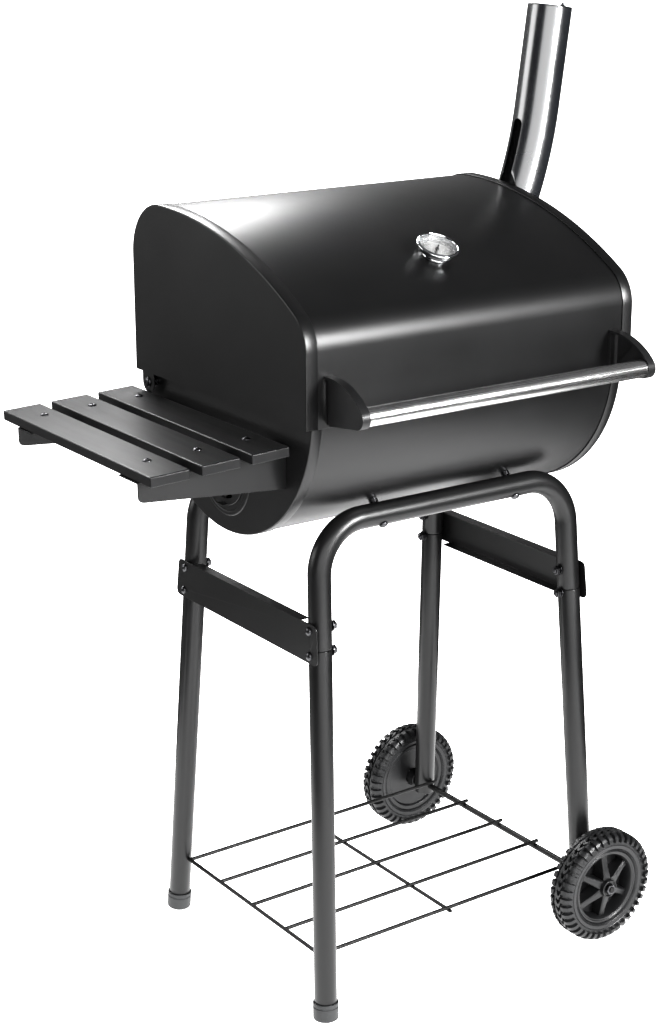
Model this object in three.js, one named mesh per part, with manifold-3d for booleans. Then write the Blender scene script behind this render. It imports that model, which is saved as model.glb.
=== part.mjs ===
// Barrel charcoal grill on a tubular stand: a round bowl with a hinged, higher lid, a side table of
// three slats, a bent chimney, two wheels and a wire shelf. Millimetres, +Z up, +X towards the
// chimney and the wheels, -Y towards the person who cooks.
import * as THREE from "three";
import { mergeVertices } from "three/addons/utils/BufferGeometryUtils.js";
import Module from "manifold-3d";

const wasm = await Module();
wasm.setup();

// ---- Driving dimensions ----------------------------------------------------------------------

const sheet = 1.2; // steel sheet of the bowl and the lid
const plate = 1.5; // steel sheet of the braces, brackets and rests
const gap = 0.3; // air kept between pieces that touch

const tubeRadius = 14;
const barHeight = 616; // centre line of the level bar of each U tube
const barY = 132; // half the distance between the two bars
const legX = 186; // half the distance between the legs of one U tube, at bar height
const splayX = 0.035; // outward lean of the legs along X, for each unit of drop
const splayY = 0.071; // and along Y
const bendRadius = 62; // centre line of the bend between bar and leg
const seamHeight = 469; // the upper tube's narrowed end enters the lower leg here
const insertEnd = 430;
const uTubeBore = 12.2;
const insertRadius = 12.6;
const insertBore = 11.2;
const legBore = 13.2;
const tubeSides = 12;

const braceHeights = [464, 494]; // bolts through each leg
const braceMiddle = 478;
const braceHalfHeight = 24;
const braceFlange = 12;
const boltRadius = 3;
const boltHole = 3.5;
const barBoltX = 100;

const footHeight = 25;
const footRadius = 16;

const wheelRadius = 75;
const wheelWidth = 36;
const wheelY = 208; // middle of each wheel
const rimRadius = 50; // seat of the tyre on the hub
const wheelSides = 28;
const axleRadius = 4;
const axleReach = 233;

const shelfHeight = 76.6; // at the left legs; the other end lies on the axle
const shelfWire = 2.5;
const shelfLeft = -201.6;
const shelfRight = 211;
const shelfHalfDepth = 153;
const shelfWireCount = 5;

const barrelHeight = 767.6; // axis of the round bowl; what belongs to the barrel is measured from it
const bowlRadius = 183.1;
const bowlHalfLength = 229;
const bowlRim = -8;
const bowlFlange = 14;

const lidHalfLength = 239.5;
const lidFront = 187;
const lidBack = 191;
const lidSkirt = -19;
const lidFlange = 16;
const frontCornerStart = 67;
const frontCornerRadius = 50;
const crownAngle = THREE.MathUtils.degToRad(32); // slope where the front corner meets the crown
const crownRadius = 545;
const hingeY = 161;
const hingeZ = -30.6;
const hingeRadius = 4;
const hingeTabRadius = 13.5; // of the round tabs on the lid's ends

const handleRadius = 11;
const handleY = -246;
const handleZ = 4.4;
const handleHalfLength = 210;
const bracketInner = 203;
const bracketOuter = 214;
const bracketTop = 40;
const bracketBottom = -16;
const bracketNose = 12.6; // round the end of the tube

const dialY = -104; // where the thermometer stands on the crown
const bezelRadius = 26;

const chimneyRadius = 28.5;
const chimneyWall = 1.2;
const chimneyY = 57;
const chimneyTop = new THREE.Vector3(303.5, chimneyY, 405.9);
const chimneyLean = THREE.MathUtils.degToRad(8);
const chimneyStraight = 124.7;
const chimneyBend = 504; // radius of the long bend down to the lid
const chimneyBendEnd = THREE.MathUtils.degToRad(37);
const smokeSlot = 16.5;
const smokeSlotTop = 268;
const smokeSlotFoot = 165;
const flangeZ = 124; // middle of the chimney's oval flange on the lid's end
const flangeHalfWidth = 42;
const flangeHalfHeight = 62;
const capPivot = 21; // from the tube's centre line to the cap's bolt

const grateTop = -17.6;
const charcoalGrateZ = -110;
const ventY = 2;
const ventZ = -108.6;
const ventRadius = 42;

const slatTop = 725.9;
const slatStart = -242; // inner edge of the first slat
const slatPitch = 64.5;
const slatWidth = 50;
const slatThick = 12;
const slatFront = -157.5;
const slatBack = 197;
const tableTilt = Math.atan(0.036);
const bracketFront = -131;
const bracketBack = 157;
const bracketTip = -421;
const bracketTipFoot = 684; // lower corner of the web at its tip
const bracketRootFoot = 668; // and at the bowl

// ---- Shapes and solids -----------------------------------------------------------------------

// A closed mesh as a solid that can be joined and cut.
function toSolid(geometry) {
  const bare = new THREE.BufferGeometry();
  bare.setAttribute("position", geometry.getAttribute("position").clone());
  if (geometry.index) bare.setIndex(geometry.index.clone());
  const merged = mergeVertices(bare, 1e-3);
  return new wasm.Manifold(
    new wasm.Mesh({
      numProp: 3,
      vertProperties: merged.attributes.position.array,
      triVerts: new Uint32Array(merged.index.array),
    }),
  );
}

function toGeometry(solid) {
  const mesh = solid.getMesh();
  const geometry = new THREE.BufferGeometry();
  geometry.setAttribute("position", new THREE.BufferAttribute(new Float32Array(mesh.vertProperties), 3));
  geometry.setIndex(new THREE.BufferAttribute(new Uint32Array(mesh.triVerts), 1));
  return geometry;
}

function joined(...geometries) {
  return toGeometry(geometries.map(toSolid).reduce((whole, next) => whole.add(next)));
}

function cutFrom(geometry, ...tools) {
  return toGeometry(tools.map(toSolid).reduce((whole, tool) => whole.subtract(tool), toSolid(geometry)));
}

function circlePoints(radius, sides) {
  const step = (2 * Math.PI) / sides;
  return Array.from({ length: sides }, (_, i) => {
    return new THREE.Vector2(radius * Math.cos(i * step), radius * Math.sin(i * step));
  });
}

// An ellipse about (x, y).
function ellipseShape(x, y, halfWidth, halfHeight, sides) {
  return new THREE.Shape(circlePoints(1, sides).map((point) => {
    return new THREE.Vector2(x + halfWidth * point.x, y + halfHeight * point.y);
  }));
}

// Points of an arc about (x, y), from one angle to another.
function arcPoints(x, y, radius, from, to, steps) {
  return Array.from({ length: steps + 1 }, (_, i) => {
    const angle = from + ((to - from) * i) / steps;
    return new THREE.Vector2(x + radius * Math.cos(angle), y + radius * Math.sin(angle));
  });
}

// A polygon whose flats, not its corners, lie on the radius: a hole that a round shaft turns in.
function holeRadius(radius, sides) {
  return radius / Math.cos(Math.PI / sides);
}

function ringShape(outer, inner, sides) {
  const shape = new THREE.Shape(circlePoints(outer, sides));
  shape.holes.push(new THREE.Path(circlePoints(inner, sides)));
  return shape;
}

// A band of even thickness between an outer and an inner line that run side by side.
function bandShape(outerLine, innerLine) {
  return new THREE.Shape([...outerLine, ...[...innerLine].reverse()]);
}

function extruded(shape, depth) {
  return new THREE.ExtrudeGeometry(shape, { depth, bevelEnabled: false, curveSegments: 8 });
}

const axisX = new THREE.Vector3(1, 0, 0);
const axisY = new THREE.Vector3(0, 1, 0);
const axisZ = new THREE.Vector3(0, 0, 1);

// A shape drawn as (y, z), with its depth from x0 to x1.
function crossways(shape, x0, x1) {
  const geometry = extruded(shape, x1 - x0);
  geometry.applyMatrix4(new THREE.Matrix4().makeBasis(axisY, axisZ, axisX));
  return geometry.translate(x0, 0, 0);
}

// A shape drawn as (x, z), with its depth from y0 to y1.
function lengthways(shape, y0, y1) {
  const geometry = extruded(shape, y1 - y0);
  geometry.rotateX(Math.PI / 2);
  return geometry.translate(0, y1, 0);
}

function block(x0, x1, y0, y1, z0, z1) {
  const geometry = new THREE.BoxGeometry(x1 - x0, y1 - y0, z1 - z0);
  return geometry.translate((x0 + x1) / 2, (y0 + y1) / 2, (z0 + z1) / 2);
}

// A shaft between two points.
function rod(radius, from, to, sides = 8) {
  const reach = to.clone().sub(from);
  const geometry = new THREE.CylinderGeometry(radius, radius, reach.length(), sides);
  geometry.applyQuaternion(new THREE.Quaternion().setFromUnitVectors(axisY, reach.clone().normalize()));
  const middle = from.clone().add(to).multiplyScalar(0.5);
  return geometry.translate(middle.x, middle.y, middle.z);
}

// A profile of [radius, height] pairs turned about Z. It starts and ends on the axis, or closes.
function turned(profile, sides) {
  const points = profile.map(([r, z]) => new THREE.Vector2(r, z));
  const geometry = new THREE.LatheGeometry(points, sides);
  return geometry.rotateX(Math.PI / 2);
}

// A line through given points, whose sections stand exactly at those points.
class Route extends THREE.Curve {
  constructor(knots) {
    super();
    this.knots = knots;
  }

  getPointAt(u, target = new THREE.Vector3()) {
    return target.copy(this.knots[Math.round(u * (this.knots.length - 1))]);
  }

  getTangentAt(u, target = new THREE.Vector3()) {
    const i = Math.round(u * (this.knots.length - 1));
    const before = this.knots[Math.max(i - 1, 0)];
    const after = this.knots[Math.min(i + 1, this.knots.length - 1)];
    const here = this.knots[i];
    target.set(0, 0, 0);
    if (before !== here) target.add(here.clone().sub(before).normalize());
    if (after !== here) target.add(after.clone().sub(here).normalize());
    return target.normalize();
  }
}

function sweptAlong(knots, shape) {
  const route = new Route(knots);
  return new THREE.ExtrudeGeometry(shape, { steps: knots.length - 1, extrudePath: route, curveSegments: 8 });
}

function pipe(knots, outer, inner, sides = tubeSides) {
  return sweptAlong(knots, ringShape(outer, inner, sides));
}

// Straight runs joined by bends of one radius at the inner corners.
function bentRoute(corners, radius, steps) {
  const knots = [corners[0]];
  for (let i = 1; i < corners.length - 1; i++) {
    const back = corners[i - 1].clone().sub(corners[i]).normalize();
    const on = corners[i + 1].clone().sub(corners[i]).normalize();
    const turn = Math.PI - back.angleTo(on);
    const reach = radius * Math.tan(turn / 2);
    const start = corners[i].clone().addScaledVector(back, reach);
    const toCentre = back.clone().add(on).normalize().multiplyScalar(radius / Math.cos(turn / 2));
    const centre = corners[i].clone().add(toCentre);
    const arm = start.clone().sub(centre);
    const end = corners[i].clone().addScaledVector(on, reach);
    const axis = arm.clone().cross(end.sub(centre)).normalize();
    for (let k = 0; k <= steps; k++) {
      knots.push(arm.clone().applyAxisAngle(axis, (turn * k) / steps).add(centre));
    }
  }
  knots.push(corners[corners.length - 1]);
  return knots;
}

// A bolt along +Z with a domed head below z = 0, a hexagon nut from nutStart, and maybe a spacer.
function boltWithNut(grip, nutStart, spacer) {
  const headRadius = 5.4;
  const head = turned([[0, -3.4], [3.6, -2.8], [headRadius, 0], [0, 0]], 8);
  const shank = rod(boltRadius, new THREE.Vector3(0, 0, -1), new THREE.Vector3(0, 0, grip), 6);
  const nut = extruded(new THREE.Shape(circlePoints(5.8, 6)), 5).translate(0, 0, nutStart);
  if (!spacer) return joined(head, shank, nut);
  const [from, to] = spacer;
  const sleeve = rod(headRadius, new THREE.Vector3(0, 0, from), new THREE.Vector3(0, 0, to), 8);
  return joined(head, shank, nut, sleeve);
}

// ---- Finishes and placing --------------------------------------------------------------------

const finishes = {
  paint: { color: 0x1c1c1d, roughness: 0.42, metalness: 0.35 },
  glossPaint: { color: 0x121314, roughness: 0.22, metalness: 0.4 },
  plastic: { color: 0x17181a, roughness: 0.55, metalness: 0 },
  rubber: { color: 0x202124, roughness: 0.8, metalness: 0 },
  steel: { color: 0xb9bbbd, roughness: 0.3, metalness: 1 },
  chrome: { color: 0xe2e4e6, roughness: 0.12, metalness: 1 },
  zinc: { color: 0x3a3b3d, roughness: 0.4, metalness: 0.9 },
  dial: { color: 0xe9e9e4, roughness: 0.5, metalness: 0 },
  needle: { color: 0x17181a, roughness: 0.5, metalness: 0 },
  glass: { color: 0xf4f8fa, roughness: 0.05, metalness: 0, transparent: true, opacity: 0.3 },
  blackSteel: { color: 0x19191a, roughness: 0.5, metalness: 0.3 },
};

function piece(parent, name, finish, geometry) {
  const mesh = new THREE.Mesh(geometry, new THREE.MeshStandardMaterial(finishes[finish]));
  mesh.name = name;
  parent.add(mesh);
  return mesh;
}

function groupIn(parent, x, y, z) {
  const group = new THREE.Group();
  group.position.set(x, y, z);
  parent.add(group);
  return group;
}

const grill = new THREE.Group();
const sides = [["left", -1], ["right", 1]];
const ends = [["front", -1], ["rear", 1]];

// ---- Stand -----------------------------------------------------------------------------------

const stand = groupIn(grill, 0, 0, 0);

// A point on the centre line of a leg at a given height.
function legPoint(sideX, sideY, height) {
  const drop = barHeight - height;
  return new THREE.Vector3(sideX * (legX + splayX * drop), sideY * (barY + splayY * drop), height);
}

// The holes of the brace bolts, which run square to the leg as seen from the front.
function braceHoles(sideX, sideY) {
  return braceHeights.map((height) => {
    const middle = legPoint(sideX, sideY, height);
    const across = new THREE.Vector3(1, 0, sideX * splayX).multiplyScalar(20);
    return rod(boltHole, middle.clone().sub(across), middle.clone().add(across), 8);
  });
}

// The bolts through a bar point at the barrel's axis.
function barBoltDirection(sideY) {
  return new THREE.Vector3(0, -sideY * barY, barrelHeight - barHeight).normalize();
}

function barBoltHole(sideX, sideY, radius) {
  const middle = new THREE.Vector3(sideX * barBoltX, sideY * barY, barHeight);
  const reach = barBoltDirection(sideY).multiplyScalar(30);
  return rod(radius, middle.clone().sub(reach), middle.clone().add(reach), 8);
}

function uTube(sideY) {
  const corners = [
    legPoint(-1, sideY, seamHeight),
    legPoint(-1, sideY, barHeight),
    legPoint(1, sideY, barHeight),
    legPoint(1, sideY, seamHeight),
  ];
  const inserts = sides.map(([, sideX]) => {
    const run = [legPoint(sideX, sideY, insertEnd), legPoint(sideX, sideY, seamHeight + 6)];
    return pipe(run, insertRadius, insertBore);
  });
  const holes = sides.flatMap(([, sideX]) => [
    ...braceHoles(sideX, sideY),
    barBoltHole(sideX, sideY, boltHole),
  ]);
  const tube = pipe(bentRoute(corners, bendRadius, 5), tubeRadius, uTubeBore);
  return cutFrom(joined(tube, ...inserts), ...holes);
}

// The left legs end in the foot caps and hold the shelf's wires. The right legs hold the axle.
function lowerLeg(sideX, sideY) {
  const end = sideX < 0 ? 4 : 62;
  const run = [legPoint(sideX, sideY, seamHeight - gap), legPoint(sideX, sideY, end)];
  const tube = pipe(run, tubeRadius, legBore);
  const middle = legPoint(sideX, sideY, wheelRadius);
  const axleHole = rod(
    axleRadius + gap,
    new THREE.Vector3(middle.x, middle.y - 30, wheelRadius),
    new THREE.Vector3(middle.x, middle.y + 30, wheelRadius),
    12,
  );
  const wireHole = rod(
    shelfWire + 0.6,
    new THREE.Vector3(shelfLeft, sideY * 140, shelfHeight),
    new THREE.Vector3(shelfLeft, sideY * 168, shelfHeight),
    10,
  );
  return cutFrom(tube, ...braceHoles(sideX, sideY), sideX < 0 ? wireHole : axleHole);
}

// A plastic cap pushed over the tube's end, cut flat where it stands on the floor.
function footCap(sideY) {
  const seat = holeRadius(tubeRadius + 0.1, tubeSides);
  const cup = turned(
    [[0, -4], [footRadius, -4], [footRadius, footHeight - 6], [footRadius - 0.8, footHeight],
      [seat, footHeight], [seat, 3.6], [0, 3.6]],
    16,
  );
  const foot = legPoint(-1, sideY, 0);
  const along = legPoint(-1, sideY, 100).sub(foot).normalize();
  cup.applyQuaternion(new THREE.Quaternion().setFromUnitVectors(axisZ, along));
  cup.translate(foot.x, foot.y, foot.z);
  const floor = block(foot.x - 40, foot.x + 40, foot.y - 40, foot.y + 40, -20, 0);
  return cutFrom(cup, floor);
}

for (const [end, sideY] of ends) {
  piece(stand, `${end}_u_tube`, "paint", uTube(sideY));
  piece(stand, `${end}_left_leg`, "paint", lowerLeg(-1, sideY));
  piece(stand, `${end}_right_leg`, "paint", lowerLeg(1, sideY));
  piece(stand, `${end}_foot_cap`, "plastic", footCap(sideY));
}

// A brace is a plate on the outside of two legs, with its long edges turned in between them.
function brace(sideX) {
  const half = barY + splayY * (barHeight - braceMiddle) + tubeRadius + 2;
  const rake = splayY * braceHalfHeight;
  const corner = 8;
  const outline = new THREE.Shape();
  outline.moveTo(-half - rake + corner, -braceHalfHeight);
  outline.lineTo(half + rake - corner, -braceHalfHeight);
  outline.quadraticCurveTo(half + rake, -braceHalfHeight, half + rake, -braceHalfHeight + corner);
  outline.lineTo(half - rake, braceHalfHeight - corner);
  outline.quadraticCurveTo(half - rake, braceHalfHeight, half - rake - corner, braceHalfHeight);
  outline.lineTo(-half + rake + corner, braceHalfHeight);
  outline.quadraticCurveTo(-half + rake, braceHalfHeight, -half + rake, braceHalfHeight - corner);
  outline.lineTo(-half - rake, -braceHalfHeight + corner);
  outline.quadraticCurveTo(-half - rake, -braceHalfHeight, -half - rake + corner, -braceHalfHeight);
  const outer = sideX * (tubeRadius + gap + plate);
  const inner = sideX * (tubeRadius + gap);
  const wall = crossways(outline, Math.min(outer, inner), Math.max(outer, inner));
  const reach = half - 2 * tubeRadius - 10;
  const lip = sideX * (tubeRadius + gap - braceFlange);
  const lips = [-1, 1].map((up) => {
    const edge = up * braceHalfHeight;
    const inside = up * (braceHalfHeight - plate);
    return block(
      Math.min(outer, lip), Math.max(outer, lip), -reach, reach, Math.min(edge, inside), Math.max(edge, inside),
    );
  });
  const holes = ends.flatMap(([, sideY]) => braceHeights.map((height) => {
    const y = sideY * (barY + splayY * (barHeight - height));
    const z = height - braceMiddle;
    return rod(boltHole, new THREE.Vector3(outer - 5, y, z), new THREE.Vector3(outer + 5, y, z), 10);
  }));
  return cutFrom(joined(wall, ...lips), ...holes);
}

for (const [side, sideX] of sides) {
  const leaning = groupIn(stand, sideX * (legX + splayX * (barHeight - braceMiddle)), 0, braceMiddle);
  leaning.rotation.y = -sideX * Math.atan(splayX);
  piece(leaning, `${side}_brace`, "paint", brace(sideX));
  for (const [end, sideY] of ends) {
    braceHeights.forEach((height, i) => {
      const headSeat = tubeRadius + 2 * gap + plate;
      const bolt = boltWithNut(headSeat + tubeRadius + 9, headSeat + tubeRadius + gap, null);
      const place = i === 0 ? "lower" : "upper";
      const mesh = piece(leaning, `${side}_${end}_${place}_brace_bolt`, "zinc", bolt);
      mesh.position.set(sideX * headSeat, sideY * (barY + splayY * (barHeight - height)), height - braceMiddle);
      mesh.rotation.y = (-sideX * Math.PI) / 2;
    });
  }
}

// Bolts up through the bars into the bowl, each with a spacer between bar and bowl.
for (const [end, sideY] of ends) {
  for (const [side, sideX] of sides) {
    const bowlFrom = Math.hypot(barY, barrelHeight - barHeight) - bowlRadius + sheet + gap;
    const headSeat = tubeRadius + gap;
    const bolt = boltWithNut(
      headSeat + bowlFrom + 9,
      headSeat + bowlFrom + sheet + 0.9,
      [headSeat + tubeRadius + gap, headSeat + bowlFrom - 0.6],
    );
    const mesh = piece(stand, `${end}_${side}_bar_bolt`, "zinc", bolt);
    const inward = barBoltDirection(sideY);
    mesh.quaternion.setFromUnitVectors(axisZ, inward);
    mesh.position.set(sideX * barBoltX, sideY * barY, barHeight).addScaledVector(inward, -headSeat);
  }
}

// ---- Wire shelf, axle and wheels -------------------------------------------------------------

const axleX = legX + splayX * (barHeight - wheelRadius);

function wireShelf() {
  const wires = [];
  const point = (x, y, z) => new THREE.Vector3(x, y, z);
  for (let i = 0; i < shelfWireCount; i++) {
    const y = -shelfHalfDepth + (2 * shelfHalfDepth * i) / (shelfWireCount - 1);
    wires.push(rod(shelfWire, point(0, y, 0), point(shelfRight - shelfLeft, y, 0), 6));
  }
  const under = -1.5 * shelfWire;
  wires.push(rod(shelfWire, point(0, -162, 0), point(0, 162, 0), 6));
  wires.push(rod(shelfWire, point(199.6, -159, under), point(199.6, shelfHalfDepth, under), 6));
  return joined(...wires);
}

const shelf = piece(stand, "wire_shelf", "blackSteel", wireShelf());
const shelfRise = wheelRadius + axleRadius + shelfWire + gap - shelfHeight;
shelf.position.set(shelfLeft, 0, shelfHeight);
shelf.rotation.y = -Math.atan(shelfRise / (axleX - shelfLeft));

const axle = rod(axleRadius, new THREE.Vector3(0, -axleReach, 0), new THREE.Vector3(0, axleReach, 0), 12);
piece(stand, "axle", "blackSteel", axle).position.set(axleX, 0, wheelRadius);

// The tyre's section, from its seat on the hub out to the tread with rounded shoulders.
function tyre() {
  const half = wheelWidth / 2;
  const profile = [
    [rimRadius + gap, -half + 4], [wheelRadius - 10, -half], [wheelRadius - 3, -half + 3],
    [wheelRadius, -half + 9], [wheelRadius, half - 9], [wheelRadius - 3, half - 3],
    [wheelRadius - 10, half], [rimRadius + gap, half - 4], [rimRadius + gap, -half + 4],
  ];
  return turned(profile, wheelSides);
}

// The hub has a rim, a centre boss and six spokes. Its outer side faces +Z.
function hub(bossInner) {
  const half = wheelWidth / 2;
  const rim = turned(
    [[43, -half + 5], [rimRadius, -half + 5], [rimRadius, half - 5], [43, half - 5], [43, -half + 5]],
    wheelSides,
  );
  const boss = rod(13, new THREE.Vector3(0, 0, bossInner), new THREE.Vector3(0, 0, half), 12);
  const spokes = Array.from({ length: 6 }, (_, i) => {
    return block(8, 45, -5.5, 5.5, -half + 8, half - 9).rotateZ((i * Math.PI) / 3);
  });
  const bore = rod(
    holeRadius(axleRadius + 0.08, 12),
    new THREE.Vector3(0, 0, -40),
    new THREE.Vector3(0, 0, 40),
    12,
  );
  return cutFrom(joined(rim, boss, ...spokes), bore);
}

for (const [end, sideY] of ends) {
  const wheel = groupIn(grill, axleX, sideY * wheelY, wheelRadius);
  wheel.rotation.x = -sideY * (Math.PI / 2);
  const legFace = barY + splayY * (barHeight - wheelRadius) + tubeRadius;
  piece(wheel, `${end}_tyre`, "rubber", tyre());
  piece(wheel, `${end}_hub`, "plastic", hub(legFace + 1 - wheelY));
  const blank = extruded(new THREE.Shape(circlePoints(7.5, 6)), 5);
  const nut = cutFrom(blank, rod(axleRadius + 0.1, axisZ.clone().multiplyScalar(-9), axisZ.clone().multiplyScalar(9), 12));
  piece(wheel, `${end}_axle_nut`, "zinc", nut).position.z = wheelWidth / 2 + gap;
}

// ---- Barrel: bowl and what it carries --------------------------------------------------------

const barrel = groupIn(grill, 0, 0, barrelHeight);

// The round lower line of the bowl, from the front rim through the bottom to the rear rim.
function bowlLine(radius) {
  const start = Math.asin(-bowlRim / bowlRadius);
  return arcPoints(0, 0, radius, Math.PI + start, 2 * Math.PI - start, 24);
}

function bowlShell() {
  const outer = bowlRadius - sheet - gap;
  const half = bowlHalfLength - sheet - gap;
  const band = crossways(bandShape(bowlLine(outer), bowlLine(outer - sheet)), -half, half);
  const holes = ends.flatMap(([, sideY]) => sides.map(([, sideX]) => {
    const hole = barBoltHole(sideX, sideY, boltHole);
    return hole.translate(0, 0, -barrelHeight);
  }));
  return cutFrom(band, ...holes);
}

// An opening of the vent: a kidney between two radii.
function ventOpening(middle, reach, inner, outer) {
  const outerLine = arcPoints(0, 0, outer, middle - reach, middle + reach, 4);
  const innerLine = arcPoints(0, 0, inner, middle - reach, middle + reach, 3);
  return bandShape(outerLine, innerLine);
}

function ventOpenings(turn) {
  return Array.from({ length: 3 }, (_, i) => {
    const middle = turn + (2 * Math.PI * i) / 3;
    return crossways(ventOpening(middle, THREE.MathUtils.degToRad(26), 15, 34), -6, 6);
  });
}

// A bowl end is a flat plate whose round edge is turned in over the shell.
function bowlEnd(sideX) {
  const face = sideX * bowlHalfLength;
  const inside = sideX * (bowlHalfLength - sheet);
  const lip = sideX * (bowlHalfLength - bowlFlange);
  const disc = crossways(new THREE.Shape(bowlLine(bowlRadius)), Math.min(face, inside), Math.max(face, inside));
  const flange = crossways(
    bandShape(bowlLine(bowlRadius), bowlLine(bowlRadius - sheet)),
    Math.min(face, lip),
    Math.max(face, lip),
  );
  const hingeHole = rod(
    hingeRadius + gap,
    new THREE.Vector3(face - 5, hingeY, hingeZ),
    new THREE.Vector3(face + 5, hingeY, hingeZ),
    12,
  );
  const plain = cutFrom(joined(disc, flange), hingeHole);
  if (sideX > 0) return plain;
  const openings = ventOpenings(0).map((opening) => opening.translate(face, ventY, ventZ));
  const pivot = rod(2.3, new THREE.Vector3(face - 5, ventY, ventZ), new THREE.Vector3(face + 5, ventY, ventZ), 10);
  return cutFrom(plain, ...openings, pivot);
}

piece(barrel, "bowl_shell", "paint", bowlShell());
piece(barrel, "bowl_left_end", "paint", bowlEnd(-1));
piece(barrel, "bowl_right_end", "paint", bowlEnd(1));

// The damper turns on a rivet in front of the openings. It stands half open.
function ventDamper() {
  const disc = crossways(new THREE.Shape(circlePoints(ventRadius, 24)), -sheet, 0);
  const tab = block(-9, 0, -6, 6, -ventRadius + 1, -ventRadius + 1 + sheet);
  const bore = rod(holeRadius(2.1, 12), new THREE.Vector3(-5, 0, 0), new THREE.Vector3(5, 0, 0), 12);
  return cutFrom(joined(disc, tab), ...ventOpenings(THREE.MathUtils.degToRad(24)), bore);
}

const vent = groupIn(barrel, -bowlHalfLength - gap, ventY, ventZ);
piece(vent, "vent_damper", "paint", ventDamper());
const rivet = turned([[0, -4.6], [2, -4.6], [2, 1.7], [5, 1.7], [4, 3.4], [0, 4]], 12).rotateY(-Math.PI / 2);
piece(vent, "vent_rivet", "zinc", rivet);

// Hinge bolts: a head outside the lid, a shoulder between lid and bowl, a nut inside the bowl.
for (const [side, sideX] of sides) {
  const outside = lidHalfLength + gap;
  const profile = [
    [0, outside + 3.6], [4.4, outside + 3], [6.5, outside], [hingeRadius, outside],
    [hingeRadius, lidHalfLength - sheet - gap], [7, lidHalfLength - sheet - gap], [7, bowlHalfLength + gap],
    [hingeRadius, bowlHalfLength + gap], [hingeRadius, bowlHalfLength - sheet - gap],
    [6.5, bowlHalfLength - sheet - gap], [6.5, bowlHalfLength - 7], [0, bowlHalfLength - 7],
  ].reverse();
  const bolt = turned(profile, 10).rotateY(Math.PI / 2);
  if (sideX < 0) bolt.rotateZ(Math.PI);
  piece(barrel, `${side}_hinge_bolt`, "zinc", bolt).position.set(0, hingeY, hingeZ);
}

// Rests are angle strips inside the bowl's front and rear wall.
for (const [end, sideY] of ends) {
  const half = bowlHalfLength - 4;
  const restTop = grateTop - 2 - gap;
  const ledge = block(-half, half, Math.min(sideY * 178.4, sideY * 160), Math.max(sideY * 178.4, sideY * 160),
    restTop - plate, restTop);
  const wallY = [sideY * 173.2, sideY * 174.7];
  const wall = block(-half, half, Math.min(...wallY), Math.max(...wallY), restTop - 20, restTop);
  piece(barrel, `${end}_grate_rest`, "blackSteel", joined(ledge, wall));
}

// A grate is a frame of thick wire with thinner wires welded on it.
function wireGrate(lengthX, lengthY, frameWire, wire, count) {
  const halfX = lengthX / 2;
  const halfY = lengthY / 2;
  const point = (x, y, z) => new THREE.Vector3(x, y, z);
  const wires = [-1, 0, 1].map((at) => {
    const y = at * (halfY - frameWire);
    return rod(frameWire, point(-halfX, y, 0), point(halfX, y, 0), 4);
  });
  for (let i = 0; i < count; i++) {
    const x = -halfX + frameWire + ((lengthX - 2 * frameWire) * i) / (count - 1);
    wires.push(rod(wire, point(x, -halfY, wire), point(x, halfY, wire), 4));
  }
  return joined(...wires);
}

piece(barrel, "charcoal_grate", "blackSteel", wireGrate(420, 274, 2.5, 2, 13)).position.z = charcoalGrateZ;
for (const [side, sideX] of sides) {
  const grate = piece(barrel, `${side}_cooking_grate`, "chrome", wireGrate(222, 350, 2, 1.6, 13));
  grate.position.set(sideX * 112.4, 0, grateTop);
}

// ---- Side table ------------------------------------------------------------------------------

// Height of the slats' underside, from the floor, at a distance x along the table.
function slatUnderside(x) {
  return slatTop - slatThick / Math.cos(tableTilt) + (x - slatStart) * Math.tan(tableTilt);
}

// A bracket is a web under the slats, with a top flange and an end flange turned inwards.
function tableBracket(faceY, inward, flangeWidth) {
  const root = -bowlHalfLength - gap;
  const tip = bracketTip;
  const top = (x) => slatUnderside(x) - gap;
  const web = new THREE.Shape();
  web.moveTo(root, top(root));
  web.lineTo(tip, top(tip));
  web.lineTo(tip, bracketTipFoot + 8);
  web.quadraticCurveTo(tip, bracketTipFoot, tip + 9, bracketTipFoot - 0.5);
  web.lineTo(root, bracketRootFoot);
  const y0 = Math.min(faceY, faceY + inward * plate);
  const wall = lengthways(web, y0, y0 + plate);
  const flange = new THREE.Shape([
    new THREE.Vector2(root - 2, top(root - 2)),
    new THREE.Vector2(tip, top(tip)),
    new THREE.Vector2(tip, top(tip) - plate),
    new THREE.Vector2(root - 2, top(root - 2) - plate),
  ]);
  const f0 = Math.min(faceY, faceY + inward * flangeWidth);
  const shelfLip = lengthways(flange, f0, f0 + flangeWidth);
  const e0 = Math.min(faceY, faceY + inward * 18);
  const endLip = block(root - plate, root, e0, e0 + 18, bracketRootFoot, top(root) - 2);
  return joined(wall, shelfLip, endLip);
}

const table = groupIn(grill, 0, 0, 0);
piece(table, "front_table_bracket", "paint", tableBracket(bracketFront, 1, 42));
piece(table, "rear_table_bracket", "paint", tableBracket(bracketBack, -1, 36));
const slats = groupIn(table, slatStart, 0, slatTop);
slats.rotation.y = -tableTilt;
["inner", "middle", "outer"].forEach((name, i) => {
  const slat = block(-slatWidth, 0, slatFront, slatBack, -slatThick, 0);
  piece(slats, `${name}_slat`, "paint", slat).position.x = -i * slatPitch;
});

// ---- Lid -------------------------------------------------------------------------------------

const lid = groupIn(barrel, 0, 0, 0);

const frontCorner = new THREE.Vector2(-lidFront + frontCornerRadius, frontCornerStart);
const crownNormal = Math.PI / 2 + crownAngle;
const crownCentre = new THREE.Vector2(
  frontCorner.x + (frontCornerRadius - crownRadius) * Math.cos(crownNormal),
  frontCorner.y + (frontCornerRadius - crownRadius) * Math.sin(crownNormal),
);
const backCornerRadius = lidBack - crownCentre.x;
const backCorner = new THREE.Vector2(crownCentre.x, crownCentre.y + crownRadius - backCornerRadius);

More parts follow.
